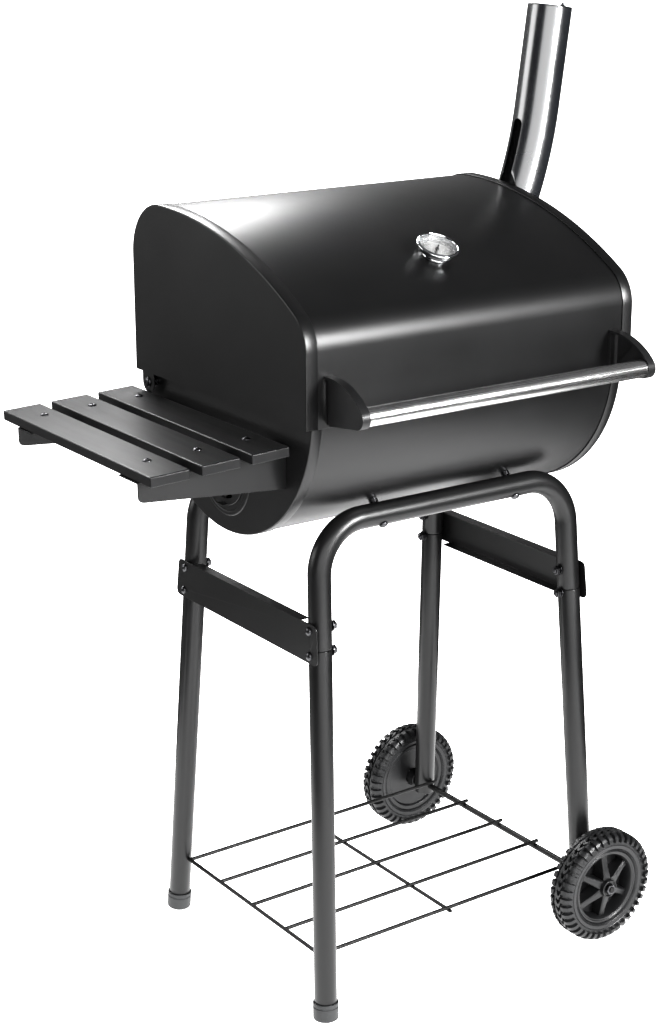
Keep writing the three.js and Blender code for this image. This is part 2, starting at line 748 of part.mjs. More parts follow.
// The lid's line as (y, z): up the front, round the front corner, over the crown, down the back.
function lidLine(inset) {
  return [
    new THREE.Vector2(-lidFront + inset, lidSkirt),
    ...arcPoints(frontCorner.x, frontCorner.y, frontCornerRadius - inset, Math.PI, crownNormal, 6),
    ...arcPoints(crownCentre.x, crownCentre.y, crownRadius - inset, crownNormal, Math.PI / 2, 8).slice(1),
    ...arcPoints(backCorner.x, backCorner.y, backCornerRadius - inset, Math.PI / 2, 0, 7).slice(1),
    new THREE.Vector2(lidBack - inset, lidSkirt),
  ];
}

// Where the crown stands at a given y, and how far its normal leans forward.
const dialLean = Math.asin((crownCentre.x - dialY) / crownRadius);
const dialZ = crownCentre.y + (crownRadius - sheet - gap) * Math.cos(dialLean);

function lidShell() {
  const half = lidHalfLength - sheet - gap;
  const inset = sheet + gap;
  const band = crossways(bandShape(lidLine(inset), lidLine(inset + sheet)), -half, half);
  const out = new THREE.Vector3(0, -Math.sin(dialLean), Math.cos(dialLean)).multiplyScalar(20);
  const middle = new THREE.Vector3(0, dialY, dialZ);
  return cutFrom(band, rod(6, middle.clone().sub(out), middle.clone().add(out), 12));
}

// A lid end is a plate turned in over the shell, with a tab at the rear for the hinge bolt.
function lidEnd(sideX) {
  const face = sideX * lidHalfLength;
  const inside = sideX * (lidHalfLength - sheet);
  const lip = sideX * (lidHalfLength - lidFlange);
  const outline = new THREE.Shape([
    ...lidLine(0),
    new THREE.Vector2(hingeY + hingeTabRadius, lidSkirt),
    ...arcPoints(hingeY, hingeZ, hingeTabRadius, 0, -Math.PI, 8),
    new THREE.Vector2(hingeY - hingeTabRadius, lidSkirt),
  ]);
  const disc = crossways(outline, Math.min(face, inside), Math.max(face, inside));
  const flange = crossways(
    bandShape(lidLine(0), lidLine(sheet)),
    Math.min(face, lip),
    Math.max(face, lip),
  );
  const hingeHole = rod(
    holeRadius(hingeRadius + 0.08, 16),
    new THREE.Vector3(face - 5, hingeY, hingeZ),
    new THREE.Vector3(face + 5, hingeY, hingeZ),
    16,
  );
  const plain = cutFrom(joined(disc, flange), hingeHole);
  if (sideX < 0) return plain;
  const smokeHole = ellipseShape(chimneyY, flangeZ + 3, 24, 44, 16);
  return cutFrom(plain, crossways(smokeHole, face - 5, face + 5));
}

piece(lid, "lid_shell", "paint", lidShell());
piece(lid, "lid_left_end", "paint", lidEnd(-1));
piece(lid, "lid_right_end", "paint", lidEnd(1));

// A handle bracket reaches forward from the lid's face and closes over the end of the tube.
function handleBracket(sideX) {
  const root = -lidFront + sheet;
  const noseLine = arcPoints(
    handleY, handleZ, bracketNose, THREE.MathUtils.degToRad(140), THREE.MathUtils.degToRad(270), 7,
  );
  const brow = new THREE.CubicBezierCurve(
    new THREE.Vector2(root - 9, bracketTop),
    new THREE.Vector2(root - 26, bracketTop),
    new THREE.Vector2(handleY + 6, bracketTop - 9),
    noseLine[0],
  );
  const outline = new THREE.Shape([
    new THREE.Vector2(root, bracketTop),
    ...brow.getPoints(7).slice(0, -1),
    ...noseLine,
    new THREE.Vector2(root, bracketBottom),
  ]);
  const outer = sideX * bracketOuter;
  const inner = sideX * bracketInner;
  const arm = crossways(outline, Math.min(outer, inner), Math.max(outer, inner));
  const socket = rod(
    holeRadius(handleRadius + 0.2, 16),
    new THREE.Vector3(inner - sideX * 2, handleY, handleZ),
    new THREE.Vector3(sideX * (handleHalfLength + gap), handleY, handleZ),
    16,
  );
  return cutFrom(arm, socket);
}

for (const [side, sideX] of sides) piece(lid, `${side}_handle_bracket`, "plastic", handleBracket(sideX));
const grip = crossways(ringShape(handleRadius, handleRadius - 1.2, 16), -handleHalfLength, handleHalfLength);
piece(lid, "handle_tube", "steel", grip).position.set(0, handleY, handleZ);

// ---- Thermometer -----------------------------------------------------------------------------

const thermometer = groupIn(lid, 0, dialY, dialZ);
thermometer.rotation.x = dialLean;
const caseProfile = [
  [0, -55], [2.5, -55], [4.5, -8], [4.5, gap], [17, gap], [17, 2], [bezelRadius, 11],
  [bezelRadius, 15], [bezelRadius - 1.5, 16], [bezelRadius - 3, 16],
  [bezelRadius - 3, 7], [0, 7],
];
piece(thermometer, "thermometer_case", "chrome", turned(caseProfile, 24));
const dialFace = turned([[0, 7.4], [22.2, 7.4], [22.2, 8.1], [0, 8.1]], 20);
piece(thermometer, "thermometer_dial", "dial", dialFace);
const pointer = new THREE.Shape([
  new THREE.Vector2(-9, -1), new THREE.Vector2(17, -0.5), new THREE.Vector2(17, 0.5), new THREE.Vector2(-9, 1),
]);
const pointerHub = extruded(new THREE.Shape(circlePoints(2.4, 12)), 1.6);
const needle = piece(thermometer, "thermometer_needle", "needle", joined(extruded(pointer, 0.8), pointerHub));
needle.position.z = 8.4;
needle.rotation.z = THREE.MathUtils.degToRad(225); // at the cold end of the scale
const lens = turned([[0, 12], [22.6, 12], [22.6, 14], [0, 14.6]], 24);
piece(thermometer, "thermometer_glass", "glass", lens);

// ---- Chimney ---------------------------------------------------------------------------------

// The centre line runs straight down from the top, then bends in towards the lid's end.
function chimneyLine() {
  const lean = new THREE.Vector3(Math.sin(chimneyLean), 0, Math.cos(chimneyLean));
  const bendStart = chimneyTop.clone().addScaledVector(lean, -chimneyStraight);
  const steps = 7;
  const bend = Array.from({ length: steps + 1 }, (_, i) => {
    const angle = chimneyLean + ((chimneyBendEnd - chimneyLean) * i) / steps;
    return new THREE.Vector3(
      bendStart.x + chimneyBend * (Math.cos(angle) - Math.cos(chimneyLean)),
      chimneyY,
      bendStart.z - chimneyBend * (Math.sin(angle) - Math.sin(chimneyLean)),
    );
  });
  return [chimneyTop, ...bend];
}

// The tube is sliced flush with the lid's end and welded to a flange there. A slot with a round
// top runs up its inner side, and a lug inside the mouth holds the cap's bolt.
function chimneyTube() {
  const line = chimneyLine();
  const tube = pipe(line, chimneyRadius, chimneyRadius - chimneyWall, 18);
  const face = lidHalfLength + gap;
  const collarOuter = ellipseShape(chimneyY, flangeZ, flangeHalfWidth, flangeHalfHeight, 18);
  const boreHalfWidth = chimneyRadius - chimneyWall + gap;
  const collarInner = ellipseShape(chimneyY, flangeZ + 10, boreHalfWidth, flangeHalfHeight, 18);
  const collar = crossways(collarOuter, face, face + plate);
  const collarHole = crossways(collarInner, face - 5, face + 5);
  const flangeTop = flangeZ + 48; // the flange stays below the lid's rounded edge
  const overLid = block(face - 5, face + 5, 0, 120, flangeTop, flangeTop + 50);
  const foot = cutFrom(collar, collarHole, overLid);
  const inside = block(0, face, -100, 200, -100, 400);
  const slotShape = new THREE.Shape([
    new THREE.Vector2(chimneyY - smokeSlot / 2, smokeSlotFoot),
    new THREE.Vector2(chimneyY + smokeSlot / 2, smokeSlotFoot),
    ...arcPoints(chimneyY, smokeSlotTop - smokeSlot / 2, smokeSlot / 2, 0, Math.PI, 8),
  ]);
  const slot = crossways(slotShape, 200, 272);
  const body = cutFrom(joined(cutFrom(tube, inside), foot), slot);
  const lug = block(capPivot - 5, chimneyRadius - 0.6, -5, 5, -4, -1);
  const lugHole = rod(2.3, new THREE.Vector3(capPivot, 0, -9), new THREE.Vector3(capPivot, 0, 9), 10);
  const placedLug = cutFrom(lug, lugHole).rotateY(chimneyLean).translate(...chimneyTop.toArray());
  return joined(body, placedLug);
}

piece(lid, "chimney_tube", "glossPaint", chimneyTube());
const mouth = groupIn(lid, chimneyTop.x, chimneyTop.y, chimneyTop.z);
mouth.rotation.y = chimneyLean;
const capDisc = cutFrom(
  extruded(new THREE.Shape(circlePoints(chimneyRadius, 24)), sheet).translate(-capPivot, 0, 0),
  rod(holeRadius(2.1, 12), new THREE.Vector3(0, 0, -5), new THREE.Vector3(0, 0, 5), 12),
);
piece(mouth, "chimney_cap", "glossPaint", capDisc).position.set(capPivot, 0, gap);
const capBolt = turned(
  [[0, -9], [4, -9], [4, -4.3], [2, -4.3], [2, sheet + 2 * gap], [4, sheet + 2 * gap], [4, 4.4], [2, 4.4],
    [2, 7], [0, 7]],
  8,
);
piece(mouth, "chimney_cap_bolt", "zinc", capBolt).position.set(capPivot, 0, 0);

// ---- Origin: on the floor, under the middle of the whole grill -------------------------------

const bounds = new THREE.Box3().setFromObject(grill, true);
const middle = bounds.getCenter(new THREE.Vector3());
grill.position.set(-middle.x, -middle.y, -bounds.min.z);

export default grill;
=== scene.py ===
import bmesh
import bpy
from math import asin, atan, cos, hypot, pi, radians, sin, tan
from mathutils import Matrix, Vector


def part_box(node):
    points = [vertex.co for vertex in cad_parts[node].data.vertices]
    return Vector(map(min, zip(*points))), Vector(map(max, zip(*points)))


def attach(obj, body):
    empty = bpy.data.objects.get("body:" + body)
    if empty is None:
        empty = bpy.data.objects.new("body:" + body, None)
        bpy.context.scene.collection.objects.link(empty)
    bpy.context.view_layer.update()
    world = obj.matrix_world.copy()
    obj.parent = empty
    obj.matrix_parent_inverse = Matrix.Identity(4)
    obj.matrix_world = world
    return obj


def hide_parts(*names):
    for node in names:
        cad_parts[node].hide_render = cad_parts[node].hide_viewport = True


# Barrel charcoal grill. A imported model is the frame, and this script gives it its looks.
# Pieces are drawn in millimetres about the floor point under the barrel's middle, +X towards
# the chimney, -Y towards the cook, and putPiece sets them into the frame.

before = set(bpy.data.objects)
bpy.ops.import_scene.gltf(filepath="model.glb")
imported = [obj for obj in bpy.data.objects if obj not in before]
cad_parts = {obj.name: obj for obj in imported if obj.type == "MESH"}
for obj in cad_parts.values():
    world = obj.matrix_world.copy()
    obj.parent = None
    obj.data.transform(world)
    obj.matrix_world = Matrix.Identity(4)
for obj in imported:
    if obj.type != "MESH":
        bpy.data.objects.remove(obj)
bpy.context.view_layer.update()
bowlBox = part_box("bowl_shell")
middle = Vector(((bowlBox[0].x + bowlBox[1].x) / 2, (bowlBox[0].y + bowlBox[1].y) / 2, 0))
intoFrame = Matrix.Translation(middle) @ Matrix.Scale(0.001, 4)
sides = [("left", -1), ("right", 1)]
ends = [("front", -1), ("rear", 1)]
gap = 0.3  # air between pieces that touch
sharpAngle = 38  # edges steeper than this many degrees stay crisp


# corners of a node's box, in millimetres about the middle
def nodeBox(node):
    low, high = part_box(node)
    return (low - middle) * 1000, (high - middle) * 1000


# the steps from 0 to end, or those from first to last of them
def angles(end, steps, first=0, last=None):
    return [end * i / steps for i in range(first, (steps if last is None else last) + 1)]


def around(count):
    return angles(2 * pi, count, 0, count - 1)


def arc(x, y, radius, start, end, steps):
    turns = [start + (end - start) * i / steps for i in range(steps + 1)]
    return [(x + radius * cos(t), y + radius * sin(t)) for t in turns]


# rows of points become a skin, and each row closes on itself
def skin(bm, rows, closedRows=False, capped=False):
    made = [[bm.verts.new(point) for point in row] for row in rows]
    count = len(made[0])
    for i in range(len(made) if closedRows else len(made) - 1):
        a, b = made[i], made[(i + 1) % len(made)]
        for j in range(count):
            k = (j + 1) % count
            bm.faces.new((a[j], a[k], b[k], b[j]))
    if capped:
        bm.faces.new(list(reversed(made[0])))
        bm.faces.new(made[-1])


# a profile of (radius, height) turned about Z; a radius of 0 closes on the axis
def turn(bm, profile, count, place):
    rows = []
    for radius, height in profile:
        if radius < 1e-6:
            rows.append([bm.verts.new(place @ Vector((0, 0, height)))])
            continue
        spots = [(radius * cos(a), radius * sin(a), height) for a in around(count)]
        rows.append([bm.verts.new(place @ Vector(spot)) for spot in spots])
    for a, b in zip(rows, rows[1:]):
        for j in range(count):
            k = (j + 1) % count
            if len(a) == 1:
                bm.faces.new((a[0], b[k], b[j]))
            elif len(b) == 1:
                bm.faces.new((a[j], a[k], b[0]))
            else:
                bm.faces.new((a[j], a[k], b[k], b[j]))


def turned(profile, count, place):
    bm = bmesh.new()
    turn(bm, profile, count, place)
    return bm


# a closed ring profile turned about Z
def turnRing(bm, profile, count, place):
    turn(bm, list(profile) + [profile[0]], count, place)
    bmesh.ops.remove_doubles(bm, verts=bm.verts, dist=1e-5)


# at each point of a line, two directions across it that don't twist along the way
def crossings(line):
    points = [Vector(p) for p in line]
    last = len(points) - 1
    along = [(points[min(i + 1, last)] - points[max(i - 1, 0)]).normalized() for i in range(last + 1)]
    side = along[0].orthogonal().normalized()
    made = []
    for i, point in enumerate(points):
        if i:
            side = along[i - 1].rotation_difference(along[i]) @ side
        made.append((point, side, along[i].cross(side)))
    return made


def hoop(crossing, radius, count):
    point, side, other = crossing
    return [point + radius * (cos(a) * side + sin(a) * other) for a in around(count)]


# a round bar along a line of points, with a size for each point
def sweep(bm, line, sizes, count):
    rows = [hoop(crossing, size, count) for crossing, size in zip(crossings(line), sizes)]
    skin(bm, rows, capped=True)


# a tube with a wall: the outer skin runs out and the inner skin comes back
def hollowSweep(bm, line, outer, inner, count):
    spots = crossings(line)
    rows = [hoop(spot, outer, count) for spot in spots]
    rows += [hoop(spot, inner, count) for spot in reversed(spots)]
    skin(bm, rows, closedRows=True)


# straight runs joined by bends of one radius
def bentLine(corners, radius, steps):
    corners = [Vector(c) for c in corners]
    line = [corners[0]]
    for before, corner, after in zip(corners, corners[1:], corners[2:]):
        back, on = (before - corner).normalized(), (after - corner).normalized()
        bent = pi - back.angle(on)
        start = corner + back * radius * tan(bent / 2)
        centre = corner + (back + on).normalized() * radius / cos(bent / 2)
        arm, last = start - centre, corner + on * radius * tan(bent / 2) - centre
        axis = arm.cross(last).normalized()
        line += [centre + Matrix.Rotation(a, 3, axis) @ arm for a in angles(bent, steps)]
    return line + [corners[-1]]


def box(bm, x0, x1, y0, y1, z0, z1, place=Matrix.Identity(4)):
    x0, x1 = sorted((x0, x1))
    corners = ((x0, y0), (x1, y0), (x1, y1), (x0, y1))
    skin(bm, [[place @ Vector((x, y, z)) for x, y in corners] for z in (z0, z1)], capped=True)


# a closed outline drawn as (y, z), with its depth from x0 to x1
def crossways(bm, outline, x0, x1):
    skin(bm, [[(x, y, z) for y, z in outline] for x in sorted((x0, x1))], capped=True)


# a place whose Z runs in the direction given
def fromAxis(place, direction):
    aim = Vector((0, 0, 1)).rotation_difference(Vector(direction).normalized())
    return Matrix.Translation(Vector(place)) @ aim.to_matrix().to_4x4()


def meshOf(name, bm):
    mesh = bpy.data.meshes.new(name)
    bm.to_mesh(mesh)
    bm.free()
    return mesh


def addObject(name, data):
    obj = bpy.data.objects.new(name, data)
    bpy.context.scene.collection.objects.link(obj)
    return obj


# joins a loose shape to bm
def joinTo(bm, loose):
    mesh = meshOf("loose", loose)
    bm.from_mesh(mesh)
    bpy.data.meshes.remove(mesh)


# the mesh goes into the frame, smooth except at its edges, with a soft bevel where one is asked for
def putPiece(name, bm, body, finish, stands=(), bevel=0, steps=2, sharp=sharpAngle):
    bmesh.ops.recalc_face_normals(bm, faces=bm.faces)
    bmesh.ops.transform(bm, matrix=intoFrame, verts=bm.verts)
    mesh = meshOf(name, bm)
    mesh.shade_smooth()
    mesh.set_sharp_from_angle(angle=radians(sharp))
    obj = addObject(name, mesh)
    obj.data.materials.append(finishes[finish])
    if bevel:
        addBevel(obj, bevel, steps)
    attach(obj, body)
    if stands:
        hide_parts(*stands)
    return obj


# a piece that stands for one node of the frame and has its name, in camelCase
def putNode(node, bm, body, finish, **soft):
    first, *rest = node.split("_")
    return putPiece(first + "".join(part.title() for part in rest), bm, body, finish, [node], **soft)


def addBevel(obj, width, steps=2):
    soft = obj.modifiers.new("softEdge", "BEVEL")
    soft.width = width / 1000
    soft.segments = steps
    soft.limit_method = "ANGLE"
    soft.angle_limit = radians(30)
    soft.harden_normals = True
    soft.use_clamp_overlap = True


# takes the cutter's shape out of a piece for good
def cutOut(obj, cutter):
    bmesh.ops.recalc_face_normals(cutter, faces=cutter.faces)
    bmesh.ops.transform(cutter, matrix=intoFrame, verts=cutter.verts)
    tool = addObject("cutter", meshOf("cutter", cutter))
    kept = [(soft.width, soft.segments) for soft in obj.modifiers]
    obj.modifiers.clear()
    cut = obj.modifiers.new("cut", "BOOLEAN")
    cut.operation = "DIFFERENCE"
    cut.solver = "EXACT"
    cut.object = tool
    graph = bpy.context.evaluated_depsgraph_get()
    made = bpy.data.meshes.new_from_object(obj.evaluated_get(graph))
    obj.modifiers.clear()
    obj.data = made
    bpy.data.objects.remove(tool)
    made.set_sharp_from_angle(angle=radians(sharpAngle))
    for width, steps in kept:
        addBevel(obj, width * 1000, steps)


# a frame node keeps its shape and gets welded, softened edges and its finish
def keepNode(node, finish, bevel):
    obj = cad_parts[node]
    weld = obj.modifiers.new("weld", "WELD")
    weld.merge_threshold = 0.00002
    addBevel(obj, bevel)
    obj.data.materials.clear()
    obj.data.materials.append(finishes[finish])


# what a finish has unless its own line says otherwise: how far the tone wanders, the sizes and
# depths of the fine peel and of the slow sag of the surface, and the sheen
plainLook = {"wander": 0.2, "peel": 900, "peelDepth": 0.03, "sag": 25, "sagDepth": 0.1,
             "specular": 0.5, "metal": 0, "grainDepth": 0.12}
finishLooks = {
    "satin_black_paint": {"colour": (0.006, 0.006, 0.0062), "wander": 0.25, "rough": (0.32, 0.38),
                          "peel": 700, "peelDepth": 0.05, "sag": 5, "sagDepth": 0.35},
    "gloss_black_paint": {"colour": (0.010, 0.011, 0.013), "rough": (0.21, 0.28), "peel": 420,
                          "peelDepth": 0.02, "sag": 9, "sagDepth": 0.12, "ior": 2.4},
    "slat_paint": {"colour": (0.011, 0.011, 0.0114), "wander": 0.3, "rough": (0.33, 0.41), "peel": 520,
                   "peelDepth": 0.06, "sag": 14, "sagDepth": 0.2, "specular": 0.3, "grain": (60, 5, 60)},
    "black_wire": {"colour": (0.006, 0.006, 0.006), "wander": 0.3, "rough": (0.42, 0.52),
                   "peelDepth": 0.05, "sag": 20, "specular": 0.3},
    "handle_plastic": {"colour": (0.010, 0.010, 0.0105), "rough": (0.36, 0.46), "peel": 1500,
                       "peelDepth": 0.08},
    "foot_plastic": {"colour": (0.035, 0.036, 0.037), "rough": (0.45, 0.55), "peel": 1300,
                     "peelDepth": 0.08, "specular": 0.45},
    "hub_plastic": {"colour": (0.010, 0.0102, 0.0108), "rough": (0.34, 0.44), "peel": 1100,
                    "peelDepth": 0.06},
    "tyre_plastic": {"colour": (0.015, 0.0152, 0.016), "wander": 0.25, "rough": (0.34, 0.46),
                     "peelDepth": 0.1, "sag": 30, "specular": 0.45},
    "needle_paint": {"colour": (0.012, 0.012, 0.012), "wander": 0.15, "rough": (0.35, 0.45), "sag": 30},
    "dial_face": {"colour": (0.42, 0.42, 0.415), "wander": 0.06, "rough": (0.22, 0.32), "peel": 1600,
                  "sag": 30, "sagDepth": 0.05, "metal": 0.2},
    "brushed_tube": {"colour": (0.60, 0.60, 0.595), "wander": 0.10, "rough": (0.20, 0.30), "sag": 6,
                     "sagDepth": 0.05, "metal": 1, "grain": (6, 900, 900), "grainDepth": 0.05},
    "dark_zinc": {"colour": (0.09, 0.09, 0.094), "wander": 0.3, "rough": (0.25, 0.38), "peel": 1400,
                  "peelDepth": 0.05, "sag": 60, "metal": 1},
    "chrome_bezel": {"colour": (0.78, 0.79, 0.80), "wander": 0.05, "rough": (0.06, 0.12), "peel": 700,
                     "peelDepth": 0.01, "sag": 20, "sagDepth": 0.05, "metal": 1},
    "chromed_wire": {"colour": (0.68, 0.69, 0.70), "wander": 0.10, "rough": (0.14, 0.24), "sag": 30,
                     "sagDepth": 0.05, "metal": 1},
}


def link(tree, a, out, b, into):
    tree.links.new(a.outputs[out], b.inputs[into])


def addNode(tree, kind, values):
    made = tree.nodes.new("ShaderNode" + kind)
    for socket, value in values.items():
        made.inputs[socket].default_value = value
    return made


def newFinish(name):
    made = bpy.data.materials.new(name)
    made.use_nodes = True
    return made, made.node_tree, made.node_tree.nodes["Principled BSDF"]


def paintFinish(name, look):
    made, tree, shader = newFinish(name)
    place = tree.nodes.new("ShaderNodeTexCoord")
    # slow drift of tone and gloss over the whole piece, as sprayed or moulded surfaces show
    drift = addNode(tree, "TexNoise", {"Scale": look["sag"], "Detail": 5, "Roughness": 0.6})
    link(tree, place, "Object", drift, "Vector")
    # fine peel or moulding grain
    peel = addNode(tree, "TexNoise", {"Scale": look["peel"], "Detail": 2})
    link(tree, place, "Object", peel, "Vector")
    glossFrom = drift
    if "grain" in look:
        stretch = addNode(tree, "Mapping", {"Scale": look["grain"]})
        link(tree, place, "Object", stretch, "Vector")
        glossFrom = addNode(tree, "TexNoise", {"Scale": 1.6, "Detail": 4})
        link(tree, stretch, "Vector", glossFrom, "Vector")
    tone = tree.nodes.new("ShaderNodeValToRGB")
    wander = look["wander"]
    for stop, position, share in zip(tone.color_ramp.elements, (0.32, 0.68), (1 - wander, 1 + wander)):
        stop.position = position
        stop.color = (*[min(c * share, 1) for c in look["colour"]], 1)
    link(tree, drift, "Fac", tone, "Fac")
    link(tree, tone, "Color", shader, "Base Color")
    smooth, dull = look["rough"]
    gloss = addNode(tree, "MapRange", {"From Min": 0.3, "From Max": 0.7, "To Min": smooth, "To Max": dull})
    link(tree, glossFrom, "Fac", gloss, "Value")
    link(tree, gloss, "Result", shader, "Roughness")
    bumps = [(drift, look["sagDepth"], 0.0006), (peel, look["peelDepth"], 0.0004)]
    if "grain" in look:
        bumps.append((glossFrom, look["grainDepth"], 0.0004))
    under = None
    for height, strength, distance in bumps:
        bump = addNode(tree, "Bump", {"Strength": strength, "Distance": distance})
        link(tree, height, "Fac", bump, "Height")
        if under:
            link(tree, under, "Normal", bump, "Normal")
        under = bump
    link(tree, under, "Normal", shader, "Normal")
    shader.inputs["Metallic"].default_value = look["metal"]
    shader.inputs["Specular IOR Level"].default_value = look["specular"]
    if "ior" in look:
        shader.inputs["IOR"].default_value = look["ior"]
    return made


def glassFinish():
    made, tree, shader = newFinish("dial_glass")
    place = tree.nodes.new("ShaderNodeTexCoord")
    smear = addNode(tree, "TexNoise", {"Scale": 120})
    link(tree, place, "Object", smear, "Vector")
    rub = addNode(tree, "MapRange", {"To Min": 0.02, "To Max": 0.09})
    link(tree, smear, "Fac", rub, "Value")
    link(tree, rub, "Result", shader, "Roughness")
    shader.inputs["Base Color"].default_value = (1, 1, 1, 1)
    shader.inputs["Transmission Weight"].default_value = 1
    shader.inputs["IOR"].default_value = 1.1
    shader.inputs["Alpha"].default_value = 0.35
    return made


finishes = {name: paintFinish(name, {**plainLook, **look}) for name, look in finishLooks.items()}
finishes["dial_glass"] = glassFinish()
print("finishes made")

# the camera: metres, degrees and millimetres of lens
cameraLook = {"place": (-1.40237, -1.96836, 1.32748), "yaw": -34.616, "down": 17.234, "roll": -0.133,
              "lens": 71.57, "sensor": 36, "gamma": 0.8}
camera = addObject("camera", bpy.data.cameras.new("camera"))
camera.data.lens = cameraLook["lens"]
camera.data.sensor_width = cameraLook["sensor"]
aim = Matrix.Translation(Vector(cameraLook["place"]))
for angle, axis in ((cameraLook["yaw"], "Z"), (90 - cameraLook["down"], "X"), (cameraLook["roll"], "Z")):
    aim = aim @ Matrix.Rotation(radians(angle), 4, axis)
camera.matrix_world = aim
bpy.context.scene.camera = camera
bpy.context.scene.view_settings.view_transform = "Standard"
bpy.context.scene.view_settings.gamma = cameraLook["gamma"]

# the floor glows like a lit sweep; only the part near the grill is mirrored in the paint
floorLook = {"reach": 60, "near": (-1.0, -3.3, 0.75, 0.7), "drop": 0.001, "wall": 55, "wallHeight": 60,
             "wallSunk": 1, "colour": (0.5, 0.5, 0.5, 1), "glow": 2.4}
floorPaint, _, floorShader = newFinish("pale_floor")
floorShader.inputs["Base Color"].default_value = floorLook["colour"]
floorShader.inputs["Roughness"].default_value = 0.9
floorShader.inputs["Specular IOR Level"].default_value = 0.1
floorShader.inputs["Emission Color"].default_value = (1, 1, 1, 1)
floorShader.inputs["Emission Strength"].default_value = floorLook["glow"]


def stageObject(name, bm):
    data = meshOf(name, bm)
    data.materials.append(floorPaint)
    made = addObject(name, data)
    return made


def floorPlane(name, x0, y0, x1, y1, level):
    bm = bmesh.new()
    bm.faces.new([bm.verts.new((x, y, level)) for x, y in ((x0, y0), (x1, y0), (x1, y1), (x0, y1))])
    return stageObject(name, bm)


reach = floorLook["reach"]
floorPlane("nearFloor", *floorLook["near"], 0)
floorPlane("farFloor", -reach, -reach, reach, reach, -floorLook["drop"]).visible_glossy = False

# a pale wall far out closes the sweep above the horizon, and lights nothing
bm = bmesh.new()
wallRadius, wallHeight = floorLook["wall"], floorLook["wallHeight"]
bmesh.ops.create_cone(bm, segments=96, radius1=wallRadius, radius2=wallRadius, depth=wallHeight)
surround = stageObject("surround", bm)
surround.location.z = wallHeight / 2 - floorLook["wallSunk"]
surround.visible_glossy = surround.visible_diffuse = surround.visible_shadow = False

# soft boxes: compass angle from the front, distance, height, what height they face, size and strength
lightLooks = {
    "front": {"angle": -24, "away": 3.3, "height": 1.45, "faces": 0.8, "size": (4.2, 2.5), "power": 115},
    "stripe": {"angle": 21, "away": 2.6, "height": 1.5, "faces": 0.84, "size": (0.5, 0.9), "power": 165},
    "leftBack": {"angle": -128, "away": 2.8, "height": 1.5, "faces": 0.8, "size": (1.8, 1.4), "power": 38},
    "overBack": {"angle": 174, "away": 1.5, "height": 1.85, "faces": 0.95, "size": (1.5, 0.45), "power": 52},
}
for name, look in lightLooks.items():
    lamp = bpy.data.lights.new(name, "AREA")
    lamp.shape = "RECTANGLE"
    lamp.size, lamp.size_y = look["size"]
    lamp.energy = look["power"]
    lampObject = addObject(name, lamp)
    angle = radians(look["angle"])
    lampObject.location = (look["away"] * sin(angle), -look["away"] * cos(angle), look["height"])
    facing = Vector((0, 0, look["faces"])) - lampObject.location
    lampObject.rotation_euler = facing.to_track_quat("-Z", "Y").to_euler()

# the room: dark walls, paler behind the grill, under a dim ceiling
worldLook = {"walls": (0.03, 0.03, 0.031, 1), "behind": (0.32, 0.32, 0.32, 1),
             "ceiling": (0.22, 0.22, 0.225, 1), "ceilingFrom": (0.3, 0.62), "behindFrom": (0.2, 0.6)}
world = bpy.data.worlds.new("studio")
bpy.context.scene.world = world
world.use_nodes = True
room = world.node_tree
where = room.nodes.new("ShaderNodeTexCoord")
compass = room.nodes.new("ShaderNodeSeparateXYZ")
link(room, where, "Generated", compass, "Vector")


def fadeTo(axis, span, under, over):
    fade = room.nodes.new("ShaderNodeMapRange")
    fade.interpolation_type = "SMOOTHSTEP"
    fade.inputs["From Min"].default_value, fade.inputs["From Max"].default_value = span
    link(room, compass, axis, fade, "Value")
    mix = room.nodes.new("ShaderNodeMixRGB")
    link(room, fade, "Result", mix, "Fac")
    for colour, socket in ((under, "Color1"), (over, "Color2")):
        if isinstance(colour, tuple):
            mix.inputs[socket].default_value = colour
        else:
            link(room, colour, "Color", mix, socket)
    return mix


walls = fadeTo("Y", worldLook["behindFrom"], worldLook["walls"], worldLook["behind"])
roomTone = fadeTo("Z", worldLook["ceilingFrom"], walls, worldLook["ceiling"])
link(room, roomTone, "Color", room.nodes["Background"], "Color")
print("camera, floor and lights set")

# stand: two bent tubes, four lower legs, braces and foot caps
standLook = {
    "tube": 14, "atX": 186, "atY": 132, "splayX": 0.035, "splayY": 0.071, "bend": 62, "bendSteps": 24,
    "around": 48, "barDrop": 14, "seam": 469, "insertEnd": 432, "insert": 12.6, "edge": 0.9, "wall": 1.4,
}
barHeight = nodeBox("front_u_tube")[1].z - standLook["barDrop"]
barY = standLook["atY"]


# where a leg's middle line stands at a height
def legPoint(sideX, sideY, height):
    drop = barHeight - height
    out, back = standLook["atX"] + standLook["splayX"] * drop, barY + standLook["splayY"] * drop
    return Vector((sideX * out, sideY * back, height))


# both ends of the bent tube round over and narrow into the lower legs
def uTube(end, sideY):
    look = standLook
    tube, edge, seam = look["tube"], look["edge"], look["seam"]
    corners = [legPoint(sideX, sideY, height) for sideX, height in
               ((-1, seam), (-1, barHeight), (1, barHeight), (1, seam))]
    line = bentLine(corners, look["bend"], look["bendSteps"])
    line[0], line[-1] = [legPoint(sideX, sideY, seam + 2 * edge) for sideX in (-1, 1)]
    rim = [(edge * 0.3, tube - edge * 0.1), (0, tube - edge * 0.45), (-edge * 0.2, tube - edge)]
    tail = [(seam + rise + edge, size) for rise, size in rim]
    tail += [(seam + 0.5, look["insert"]), (look["insertEnd"], look["insert"])]
    lead = tail[::-1]
    points = [legPoint(-1, sideY, height) for height, _ in lead] + line
    points += [legPoint(1, sideY, height) for height, _ in tail]
    sizes = [size for _, size in lead] + [tube] * len(line) + [size for _, size in tail]
    bm = bmesh.new()
    sweep(bm, points, sizes, look["around"])
    putNode(f"{end}_u_tube", bm, "stand", "satin_black_paint", sharp=50)


